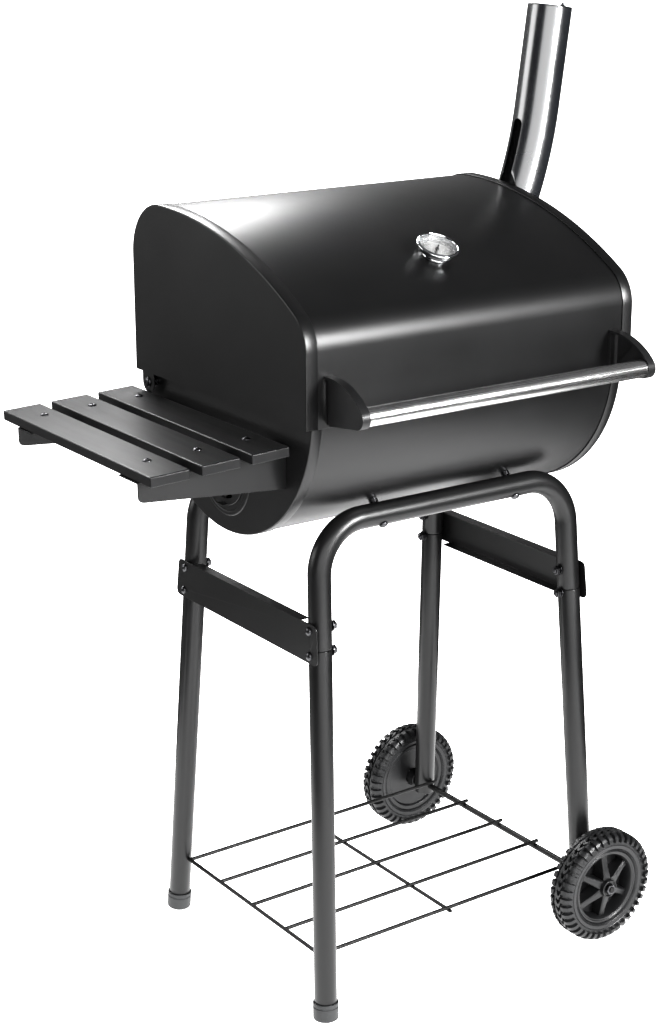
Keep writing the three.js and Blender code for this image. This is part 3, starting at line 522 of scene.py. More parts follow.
# a straight tube with rounded rims, open at both ends
def lowerLeg(end, side, sideX, sideY):
    foot = nodeBox(f"{end}_{side}_leg")[0].z + (3 if sideX > 0 else 1)
    tube, rimSize = standLook["tube"], standLook["wall"] / 2
    start, stop = legPoint(sideX, sideY, foot), legPoint(sideX, sideY, standLook["seam"] - gap)
    length = (stop - start).length
    rim = [(tube - rimSize + rimSize * cos(a), rimSize * sin(a)) for a in angles(pi, 6)]
    profile = [(r, length - rimSize + h) for r, h in rim] + [(r, rimSize - h) for r, h in reversed(rim)]
    bm = bmesh.new()
    turnRing(bm, profile, standLook["around"], fromAxis(start, stop - start))
    putNode(f"{end}_{side}_leg", bm, "stand", "satin_black_paint", sharp=60)


capLook = {"outer": 16, "height": 25, "lift": 1.4, "sole": 3, "bore": 14.4, "boreDeep": 3, "rim": 0.9}


# a pushed-on cap with a groove below its rim and a flat sole
def footCap(end, sideY):
    outer, high, lift = capLook["outer"], capLook["height"], capLook["lift"]
    sole, bore, rim = capLook["sole"], capLook["bore"], capLook["rim"]
    side = outer - 0.2
    profile = [(0, lift), (outer - sole, lift)] + arc(side - sole, lift + sole, sole, -pi / 2, 0, 6)
    profile += [(side, high - 7), (outer - 0.9, high - 6.4), (outer - 0.9, high - 5.6), (side, high - 5)]
    profile += arc(side - rim, high - rim - 0.5, rim, 0, pi / 2, 5)
    profile += [(bore, high - 0.5), (bore, high - capLook["boreDeep"]), (0, high - capLook["boreDeep"])]
    foot = legPoint(-1, sideY, 0)
    bm = turned(profile, 48, fromAxis(foot, legPoint(-1, sideY, 100) - foot))
    for vert in bm.verts:
        vert.co.z = max(vert.co.z, 0)
    putNode(f"{end}_foot_cap", bm, "stand", "foot_plastic")


for end, sideY in ends:
    uTube(end, sideY)
    for side, sideX in sides:
        lowerLeg(end, side, sideX, sideY)
    footCap(end, sideY)
for side, _ in sides:
    keepNode(f"{side}_brace", "satin_black_paint", 0.5)

boltLook = {"head": 5.4, "dome": 3.6, "shank": 3, "tip": 0.8, "washer": 7, "nut": 5.8, "nutTall": 5}


# a domed head, shank, washer and nut along +Z from the seat of the head
def putBolt(node, place, grip, nutAt, spacer=None):
    head, dome, shank, tip = [boltLook[key] for key in ("head", "dome", "shank", "tip")]
    profile = [(0, -dome)] + [(head * sin(a), -dome * cos(a)) for a in angles(pi / 2, 8, 1)]
    profile += [(head, 0.0), (shank, 0.0), (shank, grip - tip), (shank - tip, grip), (0, grip)]
    bm = turned(profile, 24, place)
    sleeves = [(boltLook["washer"], shank + 0.2, nutAt - 1.1, nutAt - 0.1)]
    if spacer:
        sleeves.insert(0, (head, shank + 0.4, *spacer))
    for outer, inner, low, high in sleeves:
        turnRing(bm, [(outer, low), (outer, high), (inner, high), (inner, low)], 32, place)
    nutPlace = place @ Matrix.Translation((0, 0, nutAt))
    hexNut(bm, nutPlace, boltLook["nut"], boltLook["nutTall"], shank + 0.1)
    putPiece(node.replace("_", " ").title().replace(" ", ""), bm, "stand", "dark_zinc", [node])


# a hexagon nut with chamfered corners and a round bore
def hexNut(bm, place, across, tall, bore):
    chamfer = across * 0.09
    narrow = across - 1.2 * chamfer
    rows = []
    for size, level in ((narrow, 0), (across, chamfer), (across, tall - chamfer), (narrow, tall)):
        spots = []
        for i in range(6):
            for share in (0, 0.5):
                a, b = i * pi / 3, (i + 1) * pi / 3
                x = size * (cos(a) * (1 - share) + cos(b) * share)
                y = size * (sin(a) * (1 - share) + sin(b) * share)
                spots.append(place @ Vector((x, y, level)))
        rows.append(spots)
    for level in (tall, 0):
        rows.append([place @ Vector((bore * cos(a), bore * sin(a), level)) for a in around(12)])
    skin(bm, rows, closedRows=True)


braceBoltLook = {"heights": {"lower": 464, "upper": 494}, "proud": 2.1, "grip": 39, "nutAt": 32.2}
legLean = atan(standLook["splayX"])
for side, sideX in sides:
    for end, sideY in ends:
        for level, height in braceBoltLook["heights"].items():
            outward = Vector((sideX * cos(legLean), 0, -sin(legLean)))
            seat = legPoint(sideX, sideY, height) + outward * (standLook["tube"] + braceBoltLook["proud"])
            putBolt(f"{side}_{end}_{level}_brace_bolt", fromAxis(seat, -outward),
                    braceBoltLook["grip"], braceBoltLook["nutAt"])

bowlLook = {"radius": 183.1, "half": 229, "rim": -8, "sheet": 1.2, "flange": 14, "round": 1.5, "steps": 90}
axisHeight = nodeBox("bowl_left_end")[0].z + bowlLook["radius"]
barBoltLook = {"atX": 100, "seat": 14.3, "spacerFrom": 28.6, "spacerEnd": 13.5, "nutOver": 2.1, "tipOver": 23}
toBowl = hypot(barY, axisHeight - barHeight) - bowlLook["radius"] + bowlLook["sheet"] + gap
for end, sideY in ends:
    for side, sideX in sides:
        look = barBoltLook
        inward = Vector((0, -sideY * barY, axisHeight - barHeight)).normalized()
        seat = Vector((sideX * look["atX"], sideY * barY, barHeight)) - inward * look["seat"]
        putBolt(f"{end}_{side}_bar_bolt", fromAxis(seat, inward), toBowl + look["tipOver"],
                look["seat"] + toBowl + look["nutOver"], (look["spacerFrom"], look["spacerEnd"] + toBowl))
print("stand made")

# wire shelf, axle and wheels
axleBox = nodeBox("axle")
axleX, wheelRadius = (axleBox[0].x + axleBox[1].x) / 2, (axleBox[0].z + axleBox[1].z) / 2
axleLook = {"radius": 4, "tip": 0.8, "around": 32}
shelfLook = {"wire": 2.5, "left": -201.6, "long": 412.6, "halfDepth": 153, "height": 76.6, "count": 5,
             "endHalf": 162, "crossAt": 199.6, "crossFront": -158.8, "crossDrop": 1.5, "around": 14}


# a wire with domed ends
def wire(bm, start, stop, size, count):
    start, stop = Vector(start), Vector(stop)
    along = (stop - start).normalized()
    caps = [(1 - cos(a), sin(a)) for a in angles(pi / 2, 4, 1)]
    line = [start + along * size * rise for rise, _ in caps]
    line += [stop - along * size * rise for rise, _ in reversed(caps)]
    sweep(bm, line, [size * wide for _, wide in caps + caps[::-1]], count)


def wireShelf():
    look = shelfLook
    size, deep = look["wire"], look["halfDepth"]
    rise = wheelRadius + axleLook["radius"] + size + gap - look["height"]
    tilt = Matrix.Rotation(-atan(rise / (axleX - look["left"])), 4, "Y")
    tilt = Matrix.Translation((look["left"], 0, look["height"])) @ tilt
    runs = []
    for i in range(look["count"]):
        y = -deep + 2 * deep * i / (look["count"] - 1)
        runs.append(((0.3, y, 0), (look["long"], y, 0)))
    runs.append(((0, -look["endHalf"], 0), (0, look["endHalf"], 0)))
    under = -look["crossDrop"] * size
    runs.append(((look["crossAt"], look["crossFront"], under), (look["crossAt"], deep, under)))
    bm = bmesh.new()
    for start, stop in runs:
        wire(bm, tilt @ Vector(start), tilt @ Vector(stop), size, look["around"])
    putNode("wire_shelf", bm, "stand", "black_wire")


wireShelf()

half, radius, tip = axleBox[1].y, axleLook["radius"], axleLook["tip"]
profile = [(0, -half), (radius - tip, -half), (radius, -half + tip)]
profile += [(r, -z) for r, z in reversed(profile)]
bm = turned(profile, axleLook["around"], fromAxis((axleX, 0, wheelRadius), (0, 1, 0)))
putPiece("axleRod", bm, "stand", "black_wire", ["axle"])

wheelLook = {
    "lugs": 40, "lugHeight": 4.4, "half": 18, "shoulder": 6.5, "shoulderIn": 3.2, "wallTo": 61, "bead": 50.4,
    "rib": (-5.5, -2.0), "ribHigh": 2.4, "chevronSkew": 0.55, "spokes": 6, "boss": 13, "around": 96,
    "nut": 7.5, "nutTall": 5, "nutBore": 4.15, "bore": 4.25,
}


# one tread block: a short path over the tyre's skin, with its own width and lean
def treadLug(bm, path, spot, widths, skews, height):
    rows = []
    for (radius, level, outR, outZ), wide, skew in zip(path, widths, skews):
        row = []
        for edge, lift in ((-1, -0.5), (-0.82, height), (0.82, height), (1, -0.5)):
            a = spot + skew + edge * wide
            r = radius + lift * outR
            row.append(Vector((r * cos(a), r * sin(a), level + lift * outZ)))
        rows.append(row)
    skin(bm, rows, capped=True)


# the skin from the inner bead, round the outer shoulder, over the tread and back
def tyreProfile(base):
    look = wheelLook
    half, bend, bead, wallTo = look["half"], look["shoulder"], look["bead"], look["wallTo"]
    wall = [(bead, half - 5), (bead + 1.2, half - 3.2), (bead + 2.2, half - 4.2), (bead + 3.4, half - 3.0)]
    wall += [(wallTo - 3, half - 2.6), (wallTo - 2.4, half - 3.3), (wallTo - 1.6, half - 2.6)]
    wall.append((wallTo, half - 2.9))
    high = half - look["shoulderIn"] - bend
    wall += [(base - bend + bend * sin(a), high + bend * cos(a)) for a in angles(pi / 2, 8)]
    rib0, rib1 = look["rib"]
    crest = base + look["ribHigh"]
    rib = [(base, rib1 + 0.5), (crest, rib1), (crest, rib0), (base, rib0 - 0.5)]
    return wall + rib + [(r, -z) for r, z in reversed(wall)]


# blocks over both shoulders, set half a step apart
def shoulderLugs(bm, base, step):
    look = wheelLook
    bend = look["shoulder"]
    high = look["half"] - look["shoulderIn"] - bend
    for side in (-1, 1):
        path = [(base, side * 7.6, 1, 0)]
        for a in angles(pi / 2, 5):
            path.append((base - bend + bend * cos(a), side * (high + bend * sin(a)), cos(a), side * sin(a)))
        path.append((look["wallTo"] + 2.2, side * (look["half"] - 3.05), 0.0, side))
        widths = [step * 0.29] * (len(path) - 1) + [step * 0.33]
        for i in range(look["lugs"]):
            spot = i * step + (0 if side > 0 else step / 2)
            treadLug(bm, path, spot, widths, [0.0] * len(path), look["lugHeight"] - 0.4)


# slanted blocks on each side of the rib
def chevronLugs(bm, base, step):
    look = wheelLook
    for i in range(look["lugs"]):
        for low, top, lean in ((-1.4, 6.6, 1), (-6.6, -10.0, 0.4)):
            shares = [k / 4 for k in range(5)]
            path = [(base, low + (top - low) * t, 1, 0) for t in shares]
            skews = [lean * look["chevronSkew"] * step * (1 - (2 * t - 1) ** 2) for t in shares]
            treadLug(bm, path, i * step + step * 0.25, [step * 0.27] * 5, skews, look["lugHeight"] - 0.4)


def tyre(end, place):
    look = wheelLook
    base, step = wheelRadius - look["lugHeight"], 2 * pi / look["lugs"]
    bm = bmesh.new()
    turnRing(bm, tyreProfile(base), look["around"], place)
    lugs = bmesh.new()
    shoulderLugs(lugs, base, step)
    chevronLugs(lugs, base, step)
    bmesh.ops.transform(lugs, matrix=place, verts=lugs.verts)
    joinTo(bm, lugs)
    putNode(f"{end}_tyre", bm, f"{end}_wheel", "tyre_plastic", sharp=32)


# a dished hub: rim, web, six box spokes rising to the boss, and a cup round the nut
def hub(end, place, bossInner):
    look = wheelLook
    half, bore, boss = look["half"], look["bore"], look["boss"]
    bm = bmesh.new()
    rim = [(50.1, -half + 5), (50.1, half - 5.2), (49.2, half - 4.4), (47.6, half - 4.6), (46.6, half - 5.6)]
    rim += [(45.2, half - 6.0), (43.4, half - 9), (42.8, -7.5), (boss, -7.5), (boss, -10), (42.8, -10)]
    rim += [(43.4, -half + 7), (45, -half + 5)]
    turnRing(bm, rim, look["around"], place)
    cup = [(bore, bossInner), (9.6, bossInner), (10.4, bossInner + 0.8), (12.4, 2), (boss - 0.8, half - 3)]
    cup += [(boss - 1.2, half + 1.4), (boss - 1.8, half + 2.0), (10.4, half + 2.0), (9.8, half + 1.4)]
    cup += [(9.6, half - 0.1), (bore, half - 0.1)]
    turnRing(bm, cup, 48, place)
    # along a spoke: distance out, half width and how far its top lies under the hub's face
    stations = ((11, 6.2, 3.5), (16, 5.4, 4.0), (26, 4.7, 7.0), (36, 4.4, 9.8), (43.4, 4.9, 11.2))
    for i in range(look["spokes"]):
        spoke = bmesh.new()
        rows = []
        for r, wide, under in stations:
            top = half - under
            side = [(r, wide - 1.6, top), (r, wide, top - 1.6), (r, wide + 0.5, -6), (r, wide - 1.2, -8)]
            rows.append([(x, -y, z) for x, y, z in reversed(side)] + side)
        skin(spoke, rows, capped=True)
        spin = place @ Matrix.Rotation((i + 0.5) * pi / 3, 4, "Z")
        bmesh.ops.transform(spoke, matrix=spin, verts=spoke.verts)
        joinTo(bm, spoke)
    putNode(f"{end}_hub", bm, f"{end}_wheel", "hub_plastic", bevel=0.35, sharp=35)


for end, sideY in ends:
    look = wheelLook
    wheelBox = nodeBox(f"{end}_tyre")
    wheelY = (wheelBox[0].y + wheelBox[1].y) / 2
    place = fromAxis((axleX, wheelY, wheelRadius), (0, sideY, 0))
    tyre(end, place)
    legFace = barY + standLook["splayY"] * (barHeight - wheelRadius) + standLook["tube"]
    hub(end, place, legFace + 1 - abs(wheelY))
    bm = bmesh.new()
    nutPlace = place @ Matrix.Translation((0, 0, look["half"] + gap))
    hexNut(bm, nutPlace, look["nut"], look["nutTall"], look["nutBore"])
    putNode(f"{end}_axle_nut", bm, f"{end}_wheel", "dark_zinc")
print("shelf and wheels made")


# the bowl's outline as (y, z), drawn in from its outer face by inset
def bowlLine(inset):
    start = asin(-bowlLook["rim"] / bowlLook["radius"])
    return arc(0, axisHeight, bowlLook["radius"] - inset, pi + start, 2 * pi - start, bowlLook["steps"])


# a sheet bent along a line drawn as (y, z) for each inset, with rounded long edges
def bentSheet(bm, lineAt, inset, sheet, half):
    outer = [Vector(p) for p in lineAt(inset)]
    inner = [Vector(p) for p in lineAt(inset + sheet)]

    # the points of a half-round edge between two corners
    def edge(a, b, out):
        centre, arm = (a + b) / 2, (a - b) / 2
        return [centre + arm * cos(t) + out * arm.length * sin(t) for t in angles(pi, 6, 1, 5)]
    outStart = (outer[0] - outer[1]).normalized()
    outStop = (outer[-1] - outer[-2]).normalized()
    loop = outer + edge(outer[-1], inner[-1], outStop) + inner[::-1] + edge(inner[0], outer[0], outStart)
    spots = [-half, -half + 0.4] + [-half + 2 * half * i / 8 for i in range(1, 8)] + [half - 0.4, half]
    skin(bm, [[(x, p.x, p.y) for p in loop] for x in spots], capped=True)


# an end plate whose edge is turned in over the sheet; bottom holds the points of its plain lower edge
def turnedPlate(lineAt, bottom, look, sideX):
    face, sheet, flange, bend = look["half"], look["sheet"], look["flange"], look["round"]
    small = bend - sheet
    rows = [(bend + 1.2, 0), (bend, 0)]
    rows += [(bend * (1 - sin(a)), bend * (1 - cos(a))) for a in angles(pi / 2, 6, 1)]
    rows += [(0, flange - 0.35), (0.12, flange - 0.1), (0.4, flange)]
    rows += [(sheet - 0.4, flange), (sheet - 0.12, flange - 0.1), (sheet, flange - 0.35)]
    rows += [(bend - small * sin(a), bend - small * cos(a)) for a in reversed(angles(pi / 2, 6))]
    rows += [(bend + 1.2, sheet)]
    bm = bmesh.new()
    made = []
    for inset, depth in rows:
        made.append([bm.verts.new((sideX * (face - depth), y, z)) for y, z in lineAt(inset)])
    for a, b in zip(made, made[1:]):
        for j in range(len(a) - 1):
            bm.faces.new((a[j], a[j + 1], b[j + 1], b[j]))
    low = [[bm.verts.new((sideX * (face - depth), y, z)) for y, z in bottom] for depth in (0, sheet)]
    bm.faces.new(made[0] + low[0])
    bm.faces.new(list(reversed(made[-1] + low[1])))
    bm.faces.new([row[0] for row in made])
    bm.faces.new([row[-1] for row in reversed(made)])
    chains = [[row[-1]] + spots + [row[0]] for row, spots in ((made[0], low[0]), (made[-1], low[1]))]
    for j in range(len(chains[0]) - 1):
        bm.faces.new((chains[0][j], chains[0][j + 1], chains[1][j + 1], chains[1][j]))
    return bm


def putEnd(owner, bm, body, side):
    return putNode(f"{owner}_{side}_end", bm, body, "satin_black_paint", sharp=50)


# a bent sheet that lies just inside the end plates
def putShell(owner, lineAt, body, look):
    bm = bmesh.new()
    bentSheet(bm, lineAt, look["sheet"] + gap, look["sheet"], look["half"] - 1.5)
    putNode(f"{owner}_shell", bm, body, "satin_black_paint", sharp=50)


putShell("bowl", bowlLine, "stand", bowlLook)

ventBox = nodeBox("vent_rivet")
ventX = nodeBox("vent_damper")[1].x
ventY, ventZ = (ventBox[0].y + ventBox[1].y) / 2, (ventBox[0].z + ventBox[1].z) / 2
ventLook = {"openings": 3, "reach": 26, "inner": 15, "outer": 34, "damper": 42, "sheet": 1.2, "edge": 0.4,
            "stands": 24, "ring": 52, "ringWide": 3.2, "ringProud": 1.1, "tabHalf": 6, "tabLong": 8.8}


# the openings round the vent's middle, turned by an angle
def ventCutter(turnedBy, x0, x1):
    cutter = bmesh.new()
    reach = radians(ventLook["reach"])
    for i in range(ventLook["openings"]):
        spot = turnedBy + 2 * pi * i / ventLook["openings"]
        outline = arc(ventY, ventZ, ventLook["outer"], spot - reach, spot + reach, 16)
        outline += reversed(arc(ventY, ventZ, ventLook["inner"], spot - reach, spot + reach, 12))
        crossways(cutter, outline, x0, x1)
    return cutter


for side, sideX in sides:
    bm = turnedPlate(bowlLine, [], bowlLook, sideX)
    plate = putEnd("bowl", bm, "stand", side)
    if sideX < 0:
        cutOut(plate, ventCutter(0, -240, -220))

# a pressed ring round the vent
ringAt, wide = ventLook["ring"], ventLook["ringWide"]
ring = [(ringAt - wide * cos(a), ventLook["ringProud"] * sin(a)) for a in angles(pi, 8)]
bm = bmesh.new()
ringPlace = fromAxis((-bowlLook["half"], ventY, ventZ), (-1, 0, 0))
turnRing(bm, ring + [(ringAt + wide, -0.4), (ringAt - wide, -0.4)], 96, ringPlace)
putPiece("ventRing", bm, "stand", "satin_black_paint", sharp=60)


# a thin disc with softened edges, standing on a level
def disc(radius, level, thick, edge, count, place):
    profile = [(0, level), (radius - edge, level), (radius, level + edge), (radius, level + thick - edge)]
    return turned(profile + [(radius - edge, level + thick), (0, level + thick)], count, place)


# the damper: a disc with a turned-up thumb tab
ventPlace = fromAxis((ventX, ventY, ventZ), (-1, 0, 0))
bm = disc(ventLook["damper"], 0, ventLook["sheet"], ventLook["edge"], 96, ventPlace)
damper = putNode("vent_damper", bm, "damper", "satin_black_paint", sharp=50)
cutOut(damper, ventCutter(radians(ventLook["stands"]), ventX - 6, ventX + 6))
bm = bmesh.new()
low, tabHalf = ventZ - ventLook["damper"] + 1, ventLook["tabHalf"]
box(bm, ventX - ventLook["tabLong"], ventX - 0.9, ventY - tabHalf, ventY + tabHalf,
    low, low + ventLook["sheet"])
putPiece("damperTab", bm, "damper", "satin_black_paint", bevel=0.4)
rivetHead = [(5 * cos(a), 1.7 + 2.3 * sin(a)) for a in angles(pi / 2, 6, 0, 5)]
bm = turned([(0, -4.4), (2, -4.4), (2, 1.7)] + rivetHead + [(0, 4.0)], 32, ventPlace)
putNode("vent_rivet", bm, "stand", "dark_zinc")

lidLook = {
    "half": 239.5, "front": 187, "back": 191, "skirt": -19, "flange": 16, "sheet": 1.2, "round": 1.5,
    "cornerStart": 67, "cornerRadius": 50, "crownAngle": 32, "crownRadius": 545, "cornerSteps": 22,
    "crownSteps": 26, "hingeY": 161, "hingeDrop": 30.6, "tab": 13.5,
}
hingeY, hingeZ = lidLook["hingeY"], axisHeight - lidLook["hingeDrop"]
hingeBoltLook = {"radius": 4, "head": 6.5, "washer": 7, "dome": 3.0}
for side, sideX in sides:
    radius, head, washer = [hingeBoltLook[key] for key in ("radius", "head", "washer")]
    plate, lidEnd, outside = bowlLook["half"], lidLook["half"], lidLook["half"] + gap
    profile = [(0, plate - 7), (head - 0.5, plate - 7), (head, plate - 6.5), (head, plate - 2)]
    profile += [(head - 0.5, plate - 1.6), (radius, plate - 1.6), (radius, plate + gap)]
    profile += [(washer, plate + gap), (washer, lidEnd - 1.5), (radius, lidEnd - 1.5)]
    profile += [(radius, outside), (head, outside)]
    dome = angles(pi / 2, 8, 0, 7)
    profile += [(head * cos(a), outside + 0.6 + hingeBoltLook["dome"] * sin(a)) for a in dome]
    profile += [(3.2, outside + 3.4), (2.8, outside + 1.6), (0, outside + 1.6)]
    bm = turned(profile, 32, fromAxis((0, hingeY, hingeZ), (sideX, 0, 0)))
    putNode(f"{side}_hinge_bolt", bm, "stand", "dark_zinc", bevel=0.25)

for end, _ in ends:
    keepNode(f"{end}_grate_rest", "black_wire", 0.35)


# a grate: three frame rods with thinner rods welded across, slightly sunk where they meet
def wireGrate(node, body, finish, frameSize, rodSize):
    low, high = nodeBox(node)
    y, level, count = (low.y + high.y) / 2, low.z + frameSize, 19
    bm = bmesh.new()
    for side in (-1, 0, 1):
        at = y + side * ((high.y - low.y) / 2 - frameSize)
        wire(bm, (low.x, at, level), (high.x, at, level), frameSize * 0.98, 16)
    for i in range(count):
        x = low.x + frameSize + (high.x - low.x - 2 * frameSize) * i / (count - 1)
        wire(bm, (x, low.y, level + rodSize), (x, high.y, level + rodSize), rodSize * 0.98, 12)
    putNode(node, bm, body, finish)


wireGrate("charcoal_grate", "stand", "black_wire", 2.5, 2)
for side, _ in sides:
    wireGrate(f"{side}_cooking_grate", f"{side}_grate", "chromed_wire", 2, 1.6)
print("bowl made")

# side table: two brackets, three slats and their screws
slatLook = {"width": 50, "edge": 1.6, "tilt": 0.036, "screwY": (-100, 145), "screwOff": 4, "screwHead": 5.2}
for end, _ in ends:
    keepNode(f"{end}_table_bracket", "satin_black_paint", 0.5)
tilt = atan(slatLook["tilt"])
screwHead = [(slatLook["screwHead"] * cos(a), 2.4 * sin(a)) for a in angles(pi / 2, 8, 0, 6)]
screw = [(0, -5), (2.4, -5), (2.4, -0.2), (slatLook["screwHead"], -0.2)] + screwHead
screw += [(2.0, 2.35), (1.7, 0.9), (0, 0.9)]
for name in ("inner", "middle", "outer"):
    low, high = nodeBox(f"{name}_slat")
    thick = (high.z - low.z - slatLook["width"] * sin(tilt)) / cos(tilt)
    wide = (high.x - low.x - thick * sin(tilt)) / cos(tilt)
    place = Matrix.Translation(Vector((high.x, 0, high.z))) @ Matrix.Rotation(-tilt, 4, "Y")
    bm = bmesh.new()
    box(bm, -wide, 0, low.y, high.y, -thick, 0, place)
    putNode(f"{name}_slat", bm, "stand", "slat_paint", bevel=slatLook["edge"], steps=4)
    for i, y in enumerate(slatLook["screwY"]):
        seat = place @ Vector((-wide / 2 + slatLook["screwOff"], y, 0.05))
        bm = turned(screw, 28, fromAxis(seat, place.to_3x3() @ Vector((0, 0, 1))))
        putPiece(f"{name}SlatScrew{i + 1}", bm, "stand", "dark_zinc")
print("side table made")

# lid: a front corner, a long crown and a rear corner, each an arc that runs on into the next
corner = Vector((-lidLook["front"] + lidLook["cornerRadius"], lidLook["cornerStart"]))
crownNormal = pi / 2 + radians(lidLook["crownAngle"])
crownReach = lidLook["cornerRadius"] - lidLook["crownRadius"]
crown = corner + crownReach * Vector((cos(crownNormal), sin(crownNormal)))
backRadius = lidLook["back"] - crown.x
backCorner = Vector((crown.x, crown.y + lidLook["crownRadius"] - backRadius))


# the lid's outline as (y, z), drawn in from its outer face by inset
def lidLine(inset):
    look, z = lidLook, axisHeight
    front, crest, back = [size - inset for size in (look["cornerRadius"], look["crownRadius"], backRadius)]
    line = [(-look["front"] + inset, z + look["skirt"])]
    line += arc(corner.x, z + corner.y, front, pi, crownNormal, look["cornerSteps"])
    line += arc(crown.x, z + crown.y, crest, crownNormal, pi / 2, look["crownSteps"])[1:]
    line += arc(backCorner.x, z + backCorner.y, back, pi / 2, 0, look["cornerSteps"])[1:]
    return line + [(look["back"] - inset, z + look["skirt"])]


putShell("lid", lidLine, "lid", lidLook)

# round tabs that hang from the lid's ends, about the hinge
tabRadius, skirtZ = lidLook["tab"], lidLook["skirt"] + axisHeight
tab = arc(hingeY, hingeZ, tabRadius, 0, -pi, 18)
tab = [(hingeY + tabRadius, skirtZ), *tab, (hingeY - tabRadius, skirtZ)]
chimneyLook = {
    "radius": 28.5, "wall": 1.2, "y": 57, "topX": 303.5, "topZ": 405.9, "lean": 8, "straight": 124.7,
    "bend": 504, "bendEnd": 37, "steps": 40, "around": 72, "slot": 16.5, "slotTop": 268, "slotFoot": 165,
    "holeZ": 127, "holeWide": 24, "holeHigh": 44, "flangeZ": 124, "flangeWide": 42, "flangeHigh": 62,
    "flangeTop": 172, "flangeThick": 1.5, "capPivot": 21,
}
for side, sideX in sides:
    bm = turnedPlate(lidLine, tab, lidLook, sideX)
    plate = putEnd("lid", bm, "lid", side)
    if sideX > 0:
        look = chimneyLook
        wide, high, level = look["holeWide"], look["holeHigh"], axisHeight + look["holeZ"]
        cutter = bmesh.new()
        crossways(cutter, [(look["y"] + wide * cos(a), level + high * sin(a)) for a in around(48)], 230, 250)
        cutOut(plate, cutter)

# handle brackets: a curved horn with a pocket on its inner side and a round nose over the tube
handleBox = nodeBox("handle_tube")
handleLook = {"radius": 11, "nose": 12.55, "inner": 203, "outer": 214, "top": 40, "foot": -16, "rim": 2.6,
              "pocket": 7, "half": 210, "wall": 1.2, "edge": 0.4, "play": 0.25}
handleY, handleZ = (handleBox[0].y + handleBox[1].y) / 2, (handleBox[0].z + handleBox[1].z) / 2


# the horn's outline, drawn in by inset: its back falls in one curve from the lid to the nose
def hornLine(inset):
    root, top = -lidLook["front"] + 1.2, handleLook["top"] - inset
    noseRadius = handleLook["nose"] - inset
    nose = arc(handleY, handleZ - axisHeight, noseRadius, radians(140), radians(270), 20)
    knots = [Vector(p) for p in ((root - 9, top), (root - 26, top), (handleY + 6, top - 9), nose[0])]
    line = [(root, top)]
    for i in range(16):
        t = i / 16
        p = knots[0] * (1 - t) ** 3 + knots[1] * 3 * t * (1 - t) ** 2
        p = p + knots[2] * 3 * t * t * (1 - t) + knots[3] * t ** 3
        line.append((p.x, p.y))
    line += nose + [(root, handleLook["foot"] + inset)]
    return [(y, z + axisHeight) for y, z in line]


for side, sideX in sides:
    look, front = handleLook, lidLook["front"]
    inner, outer, play = sideX * look["inner"], sideX * look["outer"], sideX * 2
    bm = bmesh.new()
    crossways(bm, hornLine(0), inner, outer)
    arm = putNode(f"{side}_handle_bracket", bm, "lid", "handle_plastic", bevel=0.8, steps=3)
    pocket = [p for p in hornLine(look["rim"]) if p[0] > handleY + look["nose"] + 2]
    pocket = [(min(y, -front - 3), z) for y, z in pocket]
    cutter = bmesh.new()
    crossways(cutter, pocket, inner - play, inner + sideX * look["pocket"])
    cutOut(arm, cutter)
    # the outer side steps in where the bracket meets the lid
    cutter = bmesh.new()
    box(cutter, outer - 2 * play, outer + play, -front - 8, -front + 2,
        axisHeight + look["foot"] - 3, axisHeight + look["top"] - 3)
    cutOut(arm, cutter)
    bore, deep = look["radius"] + look["play"], look["half"] - look["inner"] + 2.3
    seat = fromAxis((inner - play, handleY, handleZ), (sideX, 0, 0))
    cutOut(arm, turned([(0, 0), (bore, 0), (bore, deep), (0, deep)], 48, seat))

radius, half, wall, edge = [handleLook[key] for key in ("radius", "half", "wall", "edge")]
profile = [(radius, -half + edge), (radius, half - edge), (radius - edge, half), (radius - wall, half)]
bm = bmesh.new()
turnRing(bm, profile + [(radius - wall, -half), (radius - edge, -half)], 64,
         fromAxis((0, handleY, handleZ), (1, 0, 0)))
putNode("handle_tube", bm, "lid", "brushed_tube")
print("lid made")

# thermometer, standing square on the crown; heights are over the lid's face
dialLook = {"y": -104, "around": 72, "bezel": 26, "face": (7.4, 8.1), "glass": 12, "needle": 8.45,
            "from": 225, "to": -45, "count": 25, "inner": 17.2, "short": (18.6, 0.2), "long": (20.4, 0.34),
            "inkFrom": 8.06}
dialLean = asin((crown.x - dialLook["y"]) / lidLook["crownRadius"])
dialZ = axisHeight + crown.y + (lidLook["crownRadius"] - 1.5) * cos(dialLean)
dialPlace = Matrix.Translation((0, dialLook["y"], dialZ)) @ Matrix.Rotation(dialLean, 4, "X")
bezel = dialLook["bezel"]
profile = [(0, -55), (2.2, -55), (2.5, -54), (4.5, -8), (4.5, gap), (17, gap), (17, 1.6), (16.6, 2.4)]
profile += [(19, 5.2), (24.4, 10.2), (25.4, 11.0)]
profile += [(bezel - 1.2 + 1.2 * cos(a), 13.0 + 1.6 * sin(a)) for a in angles(pi / 2, 3, -2)]
profile += [(24.4, 14.0), (24.0, 14.2)]
profile += [(23.6 - 0.8 * sin(a), 14.4 + 1.3 * cos(a)) for a in (-pi / 3, 0, pi / 3)]
profile += [(22.6, 13.2), (22.6, 7), (0, 7)]
bm = turned(profile, dialLook["around"], dialPlace)
putNode("thermometer_case", bm, "lid", "chrome_bezel", sharp=45)
low, high = dialLook["face"]
bm = turned([(0, low), (22.2, low), (22.2, 7.9), (21.9, high), (0, high)], dialLook["around"], dialPlace)
putNode("thermometer_dial", bm, "lid", "dial_face")

